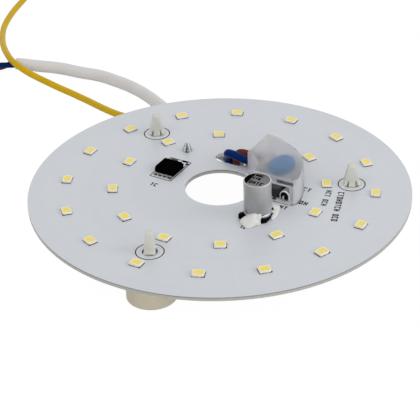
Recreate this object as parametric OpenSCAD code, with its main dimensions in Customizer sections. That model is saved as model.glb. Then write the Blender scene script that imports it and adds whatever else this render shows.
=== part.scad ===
// Mains-voltage LED module: a round aluminium-core board with two rings of LEDs, a driver
// chip, a capacitor, a moulded terminal cover, three magnetic snap feet and its three leads.
// Millimetres, +Z up. The feet stand on z = 0 and the board's centre is on the Z axis.
// Most components lie along the u and v axes: u points to -30 degrees, v to +60 degrees.

/* [Board] */
// Diameter of the round board
board_d = 116; // [90:1:150]
// Thickness of the aluminium-core board
board_t = 1.2; // [0.8:0.1:2]
// Diameter of the hole in the middle
hole_d = 21; // [12:0.5:21.5]
// Width of the wire slot
slot_w = 5.4; // [5:0.1:6]
// Length of the wire slot
slot_len = 11; // [10:0.5:12]

/* [LEDs] */
// Number of LEDs in the outer ring
outer_n = 16; // [8:1:16]
// Radius of the outer ring
outer_r = 47.1; // [46:0.1:52]
// Number of LEDs in the inner ring
inner_n = 12; // [6:1:12]
// Radius of the inner ring
inner_r = 32.4; // [30:0.1:34]
// Tangential length of an LED package
led_l = 3.5; // [3:0.1:4]
// Radial width of an LED package
led_w = 2.8; // [2.4:0.1:3.2]
// Height of an LED package with its terminals
led_h = 0.8; // [0.6:0.05:1.2]

/* [Feet] */
// Diameter of the circle that the feet stand on
foot_pcd = 80; // [76:0.5:84]
// Diameter of a foot
foot_d = 15; // [12:0.5:16]
// Height of a foot below the board
foot_h = 14; // [13:0.5:25]
// Diameter of the magnet in a foot
magnet_d = 10; // [6:0.5:11]
// Thickness of the magnet in a foot
magnet_t = 3; // [1:0.5:5]
// Height of a snap post above the board
post_h = 7; // [6:0.1:9]
// Diameter of the hole a snap post passes through
post_hole_d = 4.6; // [4.2:0.1:4.8]

/* [Capacitor] */
// Diameter of the capacitor's can
can_d = 8.2; // [6:0.1:8.3]
// Height of the capacitor's top above the board
can_top = 12.2; // [7:0.1:14]
// Side of the capacitor's square base
base_w = 8.4; // [8.4:0.1:9.6]

/* [Driver chip] */
// Length of the chip's body along u
chip_u = 7; // [5:0.1:7.2]
// Width of the chip's body along v
chip_v = 6.4; // [5:0.1:6.6]
// Height of the chip's body
chip_h = 2.3; // [1.4:0.1:2.6]

/* [Terminal cover] */
// Height of the cover above the board
cover_h = 8.5; // [8.3:0.1:10]
// Wall thickness of the cover
cover_wall = 0.9; // [0.7:0.1:1]
// Height of the window in the front wall
window_h = 5.8; // [4:0.1:6.2]
// Radius of the cover's outer arc
cover_r = 22.9; // [22.4:0.1:23.2]

/* [Parts under the cover] */
// Radius of the varistor's disc
varistor_r = 4.2; // [3:0.1:4.4]
// Radius of the fuse's sleeve
fuse_r = 1.3; // [0.9:0.1:1.4]
// Height of the rectifier's body
bridge_h = 3.1; // [2:0.1:3.2]

/* [Earth screw] */
// Diameter of the screw's shank and its hole
screw_d = 3; // [2.5:0.1:3.5]
// Height of the screw's tip above the board
tip_h = 3; // [1:0.1:5]
// Diameter of the screw's head under the board
head_d = 5.6; // [5:0.1:6.4]

/* [Leads] */
// Outside diameter of a single lead behind the board
core_d = 2.1; // [1.6:0.1:2.1]
// Outside diameter of the two leads on the board
lead_d = 2.6; // [2:0.1:2.6]
// Outside diameter of the two-core sheath
sheath_d = 4.4; // [4.2:0.1:4.6]

/* [Hidden] */
$fn = 48;
top = foot_h + board_t;
led_pad = 0.12;
cup = 0.36;
slot_v = 16.5;
slot_u = -7.7;
chip = [-15.5, 10.8];
cap = [11.1, -16.65];
screw = [-10.1, 22.9];
base_t = 1;
lug = 0.6;
ring_t = 0.8;
arc_c = [2.9, 0.2];
left_u = 4.1;
front_v = 0.8;
inner_arc = 11.2;
corner = 1.1;
post_turn = [0, 0, 90];

function two(n) = n < 10 ? str("0", n) : str(n);
function uv(u, v, z) = [u * cos(30) + v * sin(30), v * cos(30) - u * sin(30), z];

// Centre lines of the leads, from the board outwards, in millimetres above the floor.
sheath_route = [
    [3, 28.6, 9.2], [-1.6, 35, 8.6], [-6.4, 43, 7.9], [-10.6, 51.4, 7], [-14.4, 60, 6],
    [-18, 68.4, 5.1], [-21.8, 76.6, 4.3], [-26.4, 84.6, 3.6], [-31.6, 91, 3.1],
    [-37.4, 96.8, 2.7], [-43.4, 101.8, 2.4], [-50.8, 106.8, 2.2], [-58.7, 110.6, 2.2],
    [-67, 113, 2.2], [-75.2, 114.7, 2.2]];
sheath_start = sheath_route[0] - sheath_route[1];
sheath_end = sheath_route[14] - sheath_route[13];
neutral_route = concat(
    [core_at(sheath_route[0], sheath_start, -1, 0), core_at(sheath_route[0], sheath_start, -1, 3)],
    [uv(-8.6, 21.7, 10.2), uv(-7.4, 19.1, 11.4), uv(-6.95, 17.95, 12.9), uv(-6.8, 17.7, 14.4),
     uv(-6.65, 17.2, 16), uv(-6.1, 16.2, 17.5), uv(-4.4, 15.4, 18.2), uv(-1.6, 14.85, 18.2),
     uv(1.5, 14.4, 18), uv(4.4, 14.35, 17.7), uv(6.8, 14.5, 17.1), uv(8.8, 14.6, 16.7)]);
live_route = concat(
    [core_at(sheath_route[0], sheath_start, 1, 0), core_at(sheath_route[0], sheath_start, 1, 3)],
    [uv(-6.2, 23.7, 9.9), uv(-4.7, 20.8, 10.7), uv(-4.15, 18.7, 11.9), uv(-3.95, 17.85, 13.3),
     uv(-3.85, 17.75, 14.7), uv(-3.75, 17.75, 16), uv(-3.1, 17.75, 17.3), uv(-1.5, 17.65, 18.1),
     uv(0.7, 17.5, 18.1), uv(3.6, 17.4, 17.9), uv(6.4, 17.4, 17.2), uv(8.3, 17.4, 16.7)]);
// Share of the full thickness of a lead at each of its points, narrow where it leaves the sheath
lead_share = [0.8, 0.8, 0.92, 1, 1, 1, 1, 1, 1, 1, 1, 1, 1, 1];
neutral_tail_route = concat(
    [core_at(sheath_route[14], sheath_end, 1, 0)],
    [[-77.5, 113.4, 2.25], [-79.2, 113.15, 2.4], [-81.3, 112.7, 2.6], [-85, 111.8, 2.4],
     [-89.2, 110.5, 1.9], [-93.4, 108.9, 1.4], [-98, 107, 1.1], [-103, 105, 1.1], [-107.8, 103.2, 1.1]]);
live_tail_route = concat(
    [core_at(sheath_route[14], sheath_end, -1, 0)],
    [[-77.5, 115.65, 1.7], [-79.2, 115.3, 1.35], [-81.3, 114.5, 1.1], [-85, 113.75, 1.1],
     [-89.2, 112.9, 1.1], [-93.6, 112, 1.1], [-98.4, 111.3, 1.1], [-103.4, 110.9, 1.1], [-108, 110.6, 1.1]]);
earth_route = [
    [-10.1, 32.1, 12.3], [-11.2, 37.8, 11.6], [-14.1, 43, 10.6], [-17.6, 47.8, 9.6],
    [-21.4, 52.3, 8.6], [-25.4, 56.7, 7.7], [-29.8, 61, 6.9], [-34.4, 65.4, 6.2],
    [-38.2, 69.9, 5.6], [-41.8, 74.6, 5], [-45.6, 79.3, 4.6], [-49.4, 83.6, 4.3],
    [-53.2, 87.6, 4.1], [-57.2, 91.5, 4], [-61.2, 95.3, 4], [-65.2, 99.1, 4.1],
    [-70.1, 104, 4.2], [-75, 109.2, 4.4], [-77.6, 113.4, 4.4], [-79.4, 118, 4.2],
    [-80.8, 122.6, 3.7], [-82, 127.4, 3.2], [-82.8, 132.6, 2.5], [-83.4, 138.2, 2],
    [-83.8, 143.8, 1.5], [-83.7, 149.6, 1.1], [-83.1, 155.4, 1.1], [-82.2, 161.2, 1.1],
    [-81, 167, 1.1], [-79.6, 172.6, 1.1], [-78.2, 178.2, 1.1], [-76.6, 183.6, 1.1],
    [-74.8, 189, 1.1]];

// Unit vector along v
function unit(v) = v / norm(v);
// A point n along d from one core's place in the sheath's end face at p; side is -1 or 1
function core_at(p, d, side, n) = p + side * 1.1 * unit(cross([0, 0, 1], d)) + n * unit(d);
// Direction of a route at point i, with its own start and end directions
function along(p, i, a, b) =
    i == 0 ? unit(a) : i == len(p) - 1 ? unit(b) : unit(unit(p[i + 1] - p[i]) + unit(p[i] - p[i - 1]));
// One ring of a tube across direction d
function ring(c, d, r, n) =
    let (s = unit(cross([0, 0, 1], d)), w = cross(d, s))
    [for (k = [0 : n - 1]) c + r * (cos(360 * (k + 0.5) / n) * s + sin(360 * (k + 0.5) / n) * w)];

// A tube along the points p, of diameter d and n sides, with end directions a and b, and the share
// of its diameter at each point
module tube(p, d, n, a, b, share = []) {
    r = d / 2 / cos(180 / n) * 0.985;
    m = len(p);
    points = [for (i = [0 : m - 1])
        each ring(p[i], along(p, i, a, b), r * (len(share) == m ? share[i] : 1), n)];
    sides = [for (i = [0 : m - 2], k = [0 : n - 1])
        let (q = (k + 1) % n)
        each [[i * n + k, (i + 1) * n + q, i * n + q], [i * n + k, (i + 1) * n + k, (i + 1) * n + q]]];
    ends = [[for (k = [0 : n - 1]) k], [for (k = [n - 1 : -1 : 0]) (m - 1) * n + k]];
    polyhedron(points, concat(sides, ends), convexity = 6);
}

// Children stand on the board's top face
module on_board() { translate([0, 0, top]) children(); }
// Children stand on the board's top face with their axes turned to u and v
module in_uv(u, v) { translate([0, 0, top]) rotate(-30) translate([u, v, 0]) children(); }
// Children stand at one place on the board, turned to u and v
module at_place(p) { translate([p[0], p[1], top]) rotate(-30) children(); }
// A block with two of its corners given
module block(a, b) { translate(a) cube(b - a); }
// A rectangle with cut corners, drawn from its centre
module cut_rect(x, y, c) {
    polygon([[x / 2 - c, y / 2], [c - x / 2, y / 2], [-x / 2, y / 2 - c], [-x / 2, c - y / 2],
             [c - x / 2, -y / 2], [x / 2 - c, -y / 2], [x / 2, c - y / 2], [x / 2, y / 2 - c]]);
}

module circuit_board() {
    color([0.86, 0.87, 0.88]) difference() {
        translate([0, 0, foot_h]) cylinder(d = board_d, h = board_t, $fn = 128);
        translate([0, 0, foot_h - 1]) cylinder(d = hole_d, h = board_t + 2, $fn = 64);
        for (i = [0 : 2]) rotate(120 * i) translate([foot_pcd / 2, 0, foot_h - 1])
            cylinder(d = post_hole_d, h = board_t + 2);
        translate([screw[0], screw[1], foot_h - 1]) cylinder(d = screw_d, h = board_t + 2);
        translate([0, 0, -board_t - 1]) {
            in_uv(slot_u, slot_v) cylinder(d = slot_w, h = board_t + 2);
            in_uv(slot_u + slot_len - slot_w, slot_v) cylinder(d = slot_w, h = board_t + 2);
            in_uv(slot_u, slot_v - slot_w / 2) cube([slot_len - slot_w, slot_w, board_t + 2]);
        }
    }
}

// Places the children on LED i, counting the outer ring first
module at_led(i) {
    a = i < outer_n ? 15 + 360 * i / outer_n : 360 * (i - outer_n) / inner_n;
    r = i < outer_n ? outer_r : inner_r;
    on_board() rotate(a) translate([r, 0, 0]) children();
}
module led_package(i) {
    color([0.95, 0.95, 0.93]) at_led(i) difference() {
        translate([0, 0, led_pad]) linear_extrude(led_h - led_pad)
            polygon([[-led_w / 2, -led_l / 2], [led_w / 2, -led_l / 2], [led_w / 2, led_l / 2 - 0.4],
                     [led_w / 2 - 0.4, led_l / 2], [-led_w / 2, led_l / 2]]);
        translate([0, 0, led_h - cup]) linear_extrude(cup + 1)
            cut_rect(led_w - 0.5, led_l - 0.5, 0.4);
    }
}
module led_phosphor() {
    color([0.93, 0.82, 0.35]) for (i = [0 : outer_n + inner_n - 1])
        at_led(i) translate([0, 0, led_h - cup]) linear_extrude(cup - 0.05)
            cut_rect(led_w - 0.5, led_l - 0.5, 0.4);
}
module led_terminals() {
    color([0.75, 0.74, 0.7]) for (i = [0 : outer_n + inner_n - 1]) at_led(i) {
        block([0.2 - led_w / 2, -led_l / 2 - 0.15, 0], [led_w / 2 - 0.2, 0.3, led_pad]);
        block([0.2 - led_w / 2, 0.8, 0], [led_w / 2 - 0.2, led_l / 2 + 0.15, led_pad]);
    }
}

module capacitor_can() {
    r = can_d / 2;
    f = 0.4;
    color([0.68, 0.69, 0.71]) at_place(cap) rotate_extrude($fn = 64) polygon(concat(
        [[0, base_t], [r - 0.5, base_t], [r - 0.1, base_t + 0.25], [r, base_t + 0.7]],
        [for (a = [0 : 18 : 90]) [r - f + f * cos(a), can_top - f + f * sin(a)]],
        [[r - 0.55, can_top - 0.02], [r - 0.65, can_top - 0.06], [0, can_top - 0.06]]));
}
// The base's outline, with its two corners on the positive side cut
module base_outline() {
    h = base_w / 2;
    polygon([[-h, -h], [h - 1.6, -h], [h, 1.6 - h], [h, h - 1.6], [h - 1.6, h], [-h, h]]);
}
module base_solid() {
    difference() {
        linear_extrude(base_t + lug) base_outline();
        translate([0, 0, base_t]) cylinder(d = can_d + 0.1, h = lug + 1, $fn = 64);
        block([-base_w, -2.9, base_t], [base_w, 2.9, base_t + lug + 1]);
        block([-2.9, -base_w, base_t], [2.9, base_w, base_t + lug + 1]);
        for (s = [0, 180]) rotate(s) block([1.2, -0.5, -1], [base_w, 0.5, 0.25]);
    }
}
module capacitor_base() { color([0.07, 0.07, 0.08]) at_place(cap) base_solid(); }
module tags() { for (s = [0, 180]) rotate(s) block([1.2, -0.5, 0], [base_w / 2 + 0.9, 0.5, 0.25]); }
module capacitor_terminals() { color([0.78, 0.78, 0.76]) at_place(cap) tags(); }
// A flat dome of sealant
module dome(p, r, h) { translate([p[0], p[1], 0]) scale([1, 1, h / r]) sphere(r = r, $fn = 20); }
module adhesive() {
    color([0.88, 0.87, 0.84]) at_place(cap) difference() {
        union() {
            hull() {
                dome([-1.5, -5.4], 1.7, 1.8);
                dome([2, -5.6], 1.6, 1.7);
                dome([0.3, -4.4], 2.4, 3.2);
                dome([0.3, -6.6], 1.5, 1);
            }
            hull() {
                dome([2.2, 6.4], 1.3, 1.3);
                dome([4.7, 4.7], 1.2, 1.6);
            }
            hull() {
                dome([5, 3.4], 1, 1.2);
                dome([5, 0.2], 0.9, 0.9);
                dome([4.7, -1.6], 0.6, 0.6);
            }
        }
        linear_extrude(base_t + lug) base_outline();
        tags();
        cylinder(d = can_d, h = 9, $fn = 64);
        block([-20, -20, -9], [20, 20, 0]);
    }
}

module driver_body() {
    color([0.06, 0.06, 0.07]) at_place(chip) hull() {
        translate([0, 0, 0.1]) linear_extrude(0.05) cut_rect(chip_u - 0.5, chip_v - 0.5, 0.2);
        translate([0, 0, 0.9]) linear_extrude(0.36) cut_rect(chip_u, chip_v, 0.3);
        translate([0, 0, chip_h - 0.05]) linear_extrude(0.05) cut_rect(chip_u - 0.7, chip_v - 0.7, 0.25);
    }
}
// A bent lead of width w that leaves a body at height z and reaches out by n
module gull_lead(w, z, n) {
    rotate([90, 0, 90]) linear_extrude(w, center = true)
        polygon([[0, z], [0, z + 0.3], [-0.35 * n, z + 0.3], [-0.6 * n, 0.3], [-n, 0.3], [-n, 0],
                 [-0.5 * n, 0], [-0.25 * n, z]]);
}
module driver_frame() {
    color([0.72, 0.72, 0.7]) at_place(chip) {
        for (k = [-1.5 : 1 : 1.5]) translate([1.6 * k, -chip_v / 2, 0]) {
            block([-0.52, -1.3, 0], [0.52, 0.1, 0.3]);
            block([-0.52, 0, 0], [0.52, 1.2, 0.1]);
        }
        block([-2.6, -1.6, 0], [2.6, chip_v / 2 + 0.1, 0.1]);
        translate([0, chip_v / 2, 0]) linear_extrude(0.5)
            polygon([[-2.6, 0], [2.6, 0], [2.6, 0.7], [2.1, 1.3], [-2.1, 1.3], [-2.6, 0.7]]);
    }
}

// The cover's outline in u and v, moved inwards by t, with f as what is left of its corner radius.
// Its front corner is an edge, and a short curve from there runs into the arc at the angle ga.
function cover_plan(t) =
    let (f = max(corner - t, 0.2), k = cover_r - t - f, ga = 8.5,
         gu = arc_c[0] + cover_r * cos(ga) - 0.87,
         aa = acos((left_u + t + f - arc_c[0]) / k), av = arc_c[1] + k * sin(aa),
         q = inner_arc + t, b0 = asin((front_v + t) / q), b1 = acos((left_u + t) / q))
    concat(
        [[gu - 0.6 * t, front_v + t], [gu + 0.62 - 0.97 * t, front_v + 1.33 + 0.3 * t]],
        [for (i = [0 : 15]) let (a = ga + (aa - ga) * i / 16)
            [arc_c[0] + (cover_r - t) * cos(a), arc_c[1] + (cover_r - t) * sin(a)]],
        [for (i = [0 : 3]) let (a = aa + (180 - aa) * i / 3)
            [left_u + t + f + f * cos(a), av + f * sin(a)]],
        [for (i = [0 : 8]) let (a = b1 + (b0 - b1) * i / 8) [q * cos(a), q * sin(a)]]);

// The cover's outside: its outline drawn in at the top by each [inset, height] of the list.
// The bottom and top are strips of triangles between the outer edge and the hollow one.
module cover_skin(steps) {
    n = len(cover_plan(0));
    m = len(steps);
    out = n - 11;
    flat = concat(
        [for (i = [0 : out]) [i, i + 1, n - 1 - floor(8 * i / out)]],
        [for (i = [0 : out - 1]) let (j = floor(8 * i / out))
            if (floor(8 * (i + 1) / out) > j) [i + 1, n - 2 - j, n - 1 - j]]);
    points = [for (s = steps) each [for (p = cover_plan(s[0])) [p[0], p[1], s[1]]]];
    sides = [for (i = [0 : m - 2], k = [0 : n - 1])
        let (q = (k + 1) % n)
        each [[i * n + k, (i + 1) * n + q, i * n + q], [i * n + k, (i + 1) * n + k, (i + 1) * n + q]]];
    roof = [for (f = flat) [for (k = [2 : -1 : 0]) (m - 1) * n + f[k]]];
    polyhedron(points, concat(sides, flat, roof), convexity = 8);
}
module terminal_cover() {
    h = cover_h;
    color([0.75, 0.75, 0.76]) in_uv(0, 0) difference() {
        cover_skin([[0, 0], [0, h - 0.6], [0.18, h - 0.18], [0.6, h]]);
        translate([0, 0, -1]) linear_extrude(h - cover_wall + 1) polygon(cover_plan(cover_wall));
        block([13, front_v - 1, -1], [23.4, front_v + cover_wall + 0.05, window_h]);
        block([left_u - 1, 12.6, -1], [left_u + cover_wall + 0.05, 19.1, 4.4]);
    }
}

module rectifier_body() {
    color([0.06, 0.06, 0.07]) in_uv(16, 5.5) hull() {
        translate([0, 0, 0.2]) linear_extrude(0.05) cut_rect(6, 5.8, 0.1);
        translate([0, 0, 1.2]) linear_extrude(0.36) cut_rect(6.4, 6.2, 0.15);
        translate([0, 0, bridge_h - 0.05]) linear_extrude(0.05) cut_rect(6, 5.8, 0.1);
    }
}
module rectifier_leads() {
    color([0.78, 0.78, 0.76]) in_uv(16, 5.5) for (s = [0, 180], k = [-1.9, 1.9])
        rotate(s) translate([k, -3.1, 0]) gull_lead(1, 1.23, 1.25);
}
// The disc leans on its leads, with the side by the arc higher
module varistor_solid() {
    r = varistor_r;
    lean = 18;
    room = cover_h - cover_wall - 0.1 - (r - 1.1) * sin(lean) - 1.7 * cos(lean);
    translate([0, 0, min(4.9, room)]) rotate([0, -lean, 0]) translate([0, 0, -1.7])
        rotate_extrude($fn = 48) polygon([[0, 0], [r - 1.1, 0], [r - 0.35, 0.4], [r, 1.1],
                                          [r, 2.3], [r - 0.35, 3], [r - 1.1, 3.4], [0, 3.4]]);
}
module varistor() { color([0.13, 0.3, 0.6]) in_uv(14.5, 12.7) rotate(30) varistor_solid(); }
module varistor_leads() {
    color([0.78, 0.78, 0.76]) in_uv(14.5, 12.7) rotate(30) difference() {
        for (k = [-1.6, 1.6]) translate([k, 0, 0]) {
            translate([0, 3, 5.1]) rotate([-90, 0, 0]) cylinder(r = 0.3, h = 1.8, $fn = 16);
            translate([0, 4.8, 5.1]) sphere(r = 0.3, $fn = 16);
            translate([0, 4.8, 0]) cylinder(r = 0.3, h = 5.1, $fn = 16);
        }
        varistor_solid();
    }
}
module fuse() {
    color([0.08, 0.08, 0.09]) in_uv(20.9, 2.2) translate([0, 0, 1.5]) rotate([-90, 0, 0])
        cylinder(r = fuse_r, h = 6.3, $fn = 32);
}
module fuse_leads() {
    color([0.78, 0.78, 0.76]) in_uv(20.9, 5.35) for (s = [0, 180]) rotate(s) {
        translate([0, 3.15, 1.5]) rotate([-90, 0, 0]) cylinder(r = 0.32, h = 0.6, $fn = 16);
        translate([0, 3.75, 1.5]) sphere(r = 0.32, $fn = 16);
        translate([0, 3.75, 0]) cylinder(r = 0.32, h = 1.5, $fn = 16);
    }
}
module resistor() {
    color([0.1, 0.1, 0.11]) in_uv(18.6, 11.7) block([-0.8, -1.6, 0], [0.8, 1.6, 0.6]);
}
module solder_joints() {
    color([0.78, 0.78, 0.76]) difference() {
        union() {
            in_uv(9.5, 14.65) dome([0, 0], 1.3, 1.5);
            in_uv(9, 17.45) dome([0, 0], 1.3, 1.5);
        }
        translate([-50, -50, top - 9]) cube([100, 100, 9]);
        neutral_lead();
        live_lead();
    }
}

// The arrowhead of a snap post from its wide side: a stem and two sprung wings
module post_wide() {
    z = board_t;
    half = [[1, 0], [1, z + 1.7], [1.2, z + 1.9], [1.66, z + 0.4], [2.3, z + 0.4], [2.38, z + 0.9],
            [1.15, z + post_h - 0.8], [0.9, z + post_h - 0.25], [0.5, z + post_h]];
    polygon(concat(half, [for (i = [len(half) - 1 : -1 : 0]) [-half[i][0], half[i][1]]]));
}
// The same from its narrow side
module post_narrow() {
    z = board_t;
    polygon([[-1.62, 0], [1.62, 0], [1.62, z + 0.8], [1.1, z + post_h - 0.6], [0.7, z + post_h],
             [-0.7, z + post_h], [-1.1, z + post_h - 0.6], [-1.62, z + 0.8]]);
}
module foot(i) {
    r = foot_d / 2;
    color([0.86, 0.83, 0.74]) rotate(120 * (i - 1)) translate([foot_pcd / 2, 0, 0])
        rotate(post_turn[i - 1] - 120 * (i - 1)) {
            difference() {
                rotate_extrude($fn = 64) polygon([[0, 0], [r - 0.25, 0], [r, 0.25], [r, foot_h - 0.4],
                                                  [r - 0.4, foot_h], [0, foot_h]]);
                translate([0, 0, -1]) cylinder(d = magnet_d + 0.2, h = magnet_t + 1.2, $fn = 64);
            }
            translate([0, 0, foot_h - 1]) cylinder(d = post_hole_d - 0.2, h = 1.6);
            translate([0, 0, foot_h]) intersection() {
                rotate([90, 0, 0]) linear_extrude(6, center = true) post_wide();
                rotate([90, 0, 90]) linear_extrude(6, center = true) post_narrow();
            }
        }
}
module magnet(i) {
    color([0.7, 0.7, 0.72]) rotate(120 * (i - 1)) translate([foot_pcd / 2, 0, 0.2])
        cylinder(d = magnet_d, h = magnet_t, $fn = 64);
}

module earth_screw() {
    r = screw_d / 2;
    h = head_d / 2;
    z = foot_h - ring_t;
    color([0.62, 0.61, 0.58]) translate([screw[0], screw[1], 0]) difference() {
        rotate_extrude() polygon([[0, z - 2], [h - 1, z - 2], [h - 0.3, z - 1.6], [h, z - 0.9], [h, z],
            [r, z], [r, top], [r * 0.95, top + 0.4], [r * 0.35, top + tip_h - 0.3], [0, top + tip_h]]);
        for (a = [0, 90]) rotate(a) block([-1.5, -0.35, z - 3], [1.5, 0.35, z - 0.9]);
    }
}
module ring_terminal() {
    z = foot_h - ring_t;
    color([0.72, 0.71, 0.68]) translate([screw[0], screw[1], z]) difference() {
        union() {
            cylinder(r = 3.4, h = ring_t);
            block([-1.3, 0, 0], [1.3, 5.2, 0.7]);
            translate([0, 4.2, -0.9]) rotate([-90, 0, 0]) cylinder(r = 1.6, h = 5, $fn = 32);
        }
        translate([0, 0, -3]) cylinder(d = screw_d, h = 5);
    }
}

module neutral_lead() {
    color([0.04, 0.15, 0.42])
        tube(neutral_route, lead_d, 8, sheath_start, [cos(30), -sin(30), -0.1], lead_share);
}
module live_lead() {
    color([0.35, 0.16, 0.1])
        tube(live_route, lead_d, 8, sheath_start, [cos(30), -sin(30), -0.1], lead_share);
}
module cable_sheath() {
    color([0.86, 0.85, 0.84]) tube(sheath_route, sheath_d, 12, -sheath_start, sheath_end);
}
module neutral_tail() {
    color([0.04, 0.15, 0.42]) tube(neutral_tail_route, core_d, 8, sheath_end,
        neutral_tail_route[9] - neutral_tail_route[8]);
}
module live_tail() {
    color([0.35, 0.16, 0.1]) tube(live_tail_route, core_d, 8, sheath_end,
        live_tail_route[9] - live_tail_route[8]);
}
module earth_wire() {
    color([0.8, 0.63, 0.08]) tube(earth_route, core_d, 8, [0, 1, 0], earth_route[32] - earth_route[31]);
}

circuit_board();
for (i = [1 : outer_n]) led_package(i - 1);
for (i = [1 : inner_n]) led_package(outer_n + i - 1);
led_phosphor();
led_terminals();
capacitor_can();
capacitor_base();
capacitor_terminals();
adhesive();
driver_body();
driver_frame();
terminal_cover();
rectifier_body();
rectifier_leads();
varistor();
varistor_leads();
fuse();
fuse_leads();
resistor();
solder_joints();
for (i = [1 : 3]) foot(i);
for (i = [1 : 3]) magnet(i);
earth_screw();
ring_terminal();
neutral_lead();
live_lead();
cable_sheath();
neutral_tail();
live_tail();
earth_wire();
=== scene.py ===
"""Looks of the mains-voltage LED module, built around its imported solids.

The scene is in metres in the solids' own frame: the feet stand on z = 0, the board's centre is on
the Z axis, and most components lie along u (-30 degrees) and v (+60 degrees). The sizes below are
in millimetres, apart from the studio's.
"""
import logging
import math
from contextlib import contextmanager
from dataclasses import dataclass
from enum import Enum, IntEnum
from typing import Any, Callable, Iterator, Sequence

import bmesh
import bpy
from mathutils import Euler, Matrix, Vector


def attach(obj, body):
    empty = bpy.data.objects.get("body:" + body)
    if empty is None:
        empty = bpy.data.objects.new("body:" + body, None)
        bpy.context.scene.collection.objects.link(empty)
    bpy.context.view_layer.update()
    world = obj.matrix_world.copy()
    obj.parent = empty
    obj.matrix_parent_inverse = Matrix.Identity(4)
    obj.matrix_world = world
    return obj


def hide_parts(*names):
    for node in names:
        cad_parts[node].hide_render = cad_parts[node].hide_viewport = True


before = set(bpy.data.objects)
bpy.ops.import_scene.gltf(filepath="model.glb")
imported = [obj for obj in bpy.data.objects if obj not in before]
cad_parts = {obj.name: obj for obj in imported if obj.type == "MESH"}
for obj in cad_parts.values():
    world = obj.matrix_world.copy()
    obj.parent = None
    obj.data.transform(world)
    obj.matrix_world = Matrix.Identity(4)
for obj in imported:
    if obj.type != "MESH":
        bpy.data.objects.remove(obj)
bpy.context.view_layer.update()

MM = 0.001
ROOT = "root"
# The board's two faces, and the turn of u on it in degrees
BOARD_LOW, BOARD_TOP = 14.0, 15.2
LEAN = -30.0
# The snap posts' number and circle, and the places of the can, the driver chip and the earth screw
POSTS, POSTS_R = 3, 40.0
CAN_AT = (11.1, -16.65)
CHIP_AT = (-15.5, 10.8)
SCREW_AT = (-10.1, 22.9)
# The can's radius, its rim above the board, and how far its lid lies below the rim
CAN_R, CAN_TOP, LID_SUNK = 4.1, 12.2, 0.06
# The usual range of a noise, and how many grains wide its broad patches are
NOISE_LOW, NOISE_HIGH = 0.3, 0.7
BROADER = 9
# The sockets of a mix node's two colours and of their mixture
MIX_A, MIX_B, MIXED = 6, 7, 2
# A distance past everything on the board, for the side of a box that has no limit
FAR = 99.0
# A direction with more than this share of Z counts as upright
UPRIGHT = 0.9
# Corners closer than this are welded, and faces that bend by less than these degrees become one
WELD, LEVEL = 0.002, 0.4
CURVE_STEPS = 8
LOG = logging.getLogger("led_module")

Colour = tuple[float, float, float]
Point = tuple[float, float, float]
Place = tuple[float, float]
Route = tuple[Point, ...]
Obj = bpy.types.Object
Test = Callable[[Vector, Vector], bool]


class Pick(Enum):
    """What a selection in edit mode is made of."""

    FACE = "FACE"
    EDGE = "EDGE"
    VERT = "VERT"


class FarEnd(Enum):
    """How a lead's free end is finished."""

    BARE = "bare"


class Stiffness(Enum):
    """How far a lead gives."""

    MEDIUM = "medium"
    STIFF = "stiff"


class Detail(IntEnum):
    """How many layers of detail a noise has."""

    SMOOTH = 2
    FINE = 3
    SHARP = 4
    CRISP = 5


class Ring(Enum):
    """The rings of LEDs: name, number, radius, first angle in degrees, half the width of its copper."""

    OUTER = ("outer", 16, 47.1, 15.0, 6.5)
    INNER = ("inner", 12, 32.4, 0.0, 5.5)


def srgb(*channels: int) -> Colour:
    """The linear colour of a colour on a screen, whose channels run from 0 to 255."""
    shares = (channel / 255.0 for channel in channels)
    return tuple(s / 12.92 if s <= 0.04045 else ((s + 0.055) / 1.055) ** 2.4 for s in shares)


def lift(colour: Colour, factor: float) -> Colour:
    """A colour made lighter or darker by a factor."""
    return tuple(min(channel * factor, 1.0) for channel in colour)


def spot(u: float, v: float, z: float) -> Point:
    """The point in x, y and z of a place along u and v."""
    turn = math.radians(LEAN)
    return u * math.cos(turn) - v * math.sin(turn), u * math.sin(turn) + v * math.cos(turn), z


def seat(x: float, y: float, turn: float = LEAN, z: float = BOARD_TOP) -> Matrix:
    """The matrix that puts a component made at the origin on the board, turned by degrees."""
    return Matrix.Translation((x * MM, y * MM, z * MM)) @ Matrix.Rotation(math.radians(turn), 4, "Z")


def around(count: int, radius: float, start: float = 0.0) -> list[Point]:
    """The x, the y and the angle in degrees of places around the board's centre."""
    angles = [start + 360.0 * index / count for index in range(count)]
    return [(radius * math.cos(math.radians(a)), radius * math.sin(math.radians(a)), a) for a in angles]


def hold(obj: Obj) -> None:
    """Makes one object the only selected and active one.

    Args:
        obj: The object.
    """
    bpy.ops.object.select_all(action="DESELECT")
    obj.select_set(True)
    bpy.context.view_layer.objects.active = obj


def link(name: str, data: bpy.types.ID) -> Obj:
    """Adds an object to the scene.

    Args:
        name: Its name.
        data: The mesh, curve, light or camera that it shows.

    Returns:
        The object, at the origin.
    """
    obj = bpy.data.objects.new(name, data)
    obj.data.name = name
    bpy.context.scene.collection.objects.link(obj)
    return obj


def named(name: str) -> Obj:
    """Names the object that was just made and settles its place in its mesh.

    Args:
        name: Its name.

    Returns:
        The object, at the origin.
    """
    obj = bpy.context.active_object
    obj.name = obj.data.name = name
    bpy.ops.object.transform_apply(location=True, rotation=True, scale=True)
    return obj


def block(name: str, low: Point, high: Point) -> Obj:
    """Adds a cube.

    Args:
        name: The piece's name.
        low: Its lowest corner.
        high: Its highest corner.

    Returns:
        The cube.
    """
    bpy.ops.mesh.primitive_cube_add(size=1, location=[(a + b) / 2 * MM for a, b in zip(low, high)],
                                    scale=[(b - a) * MM for a, b in zip(low, high)])
    return named(name)


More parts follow.
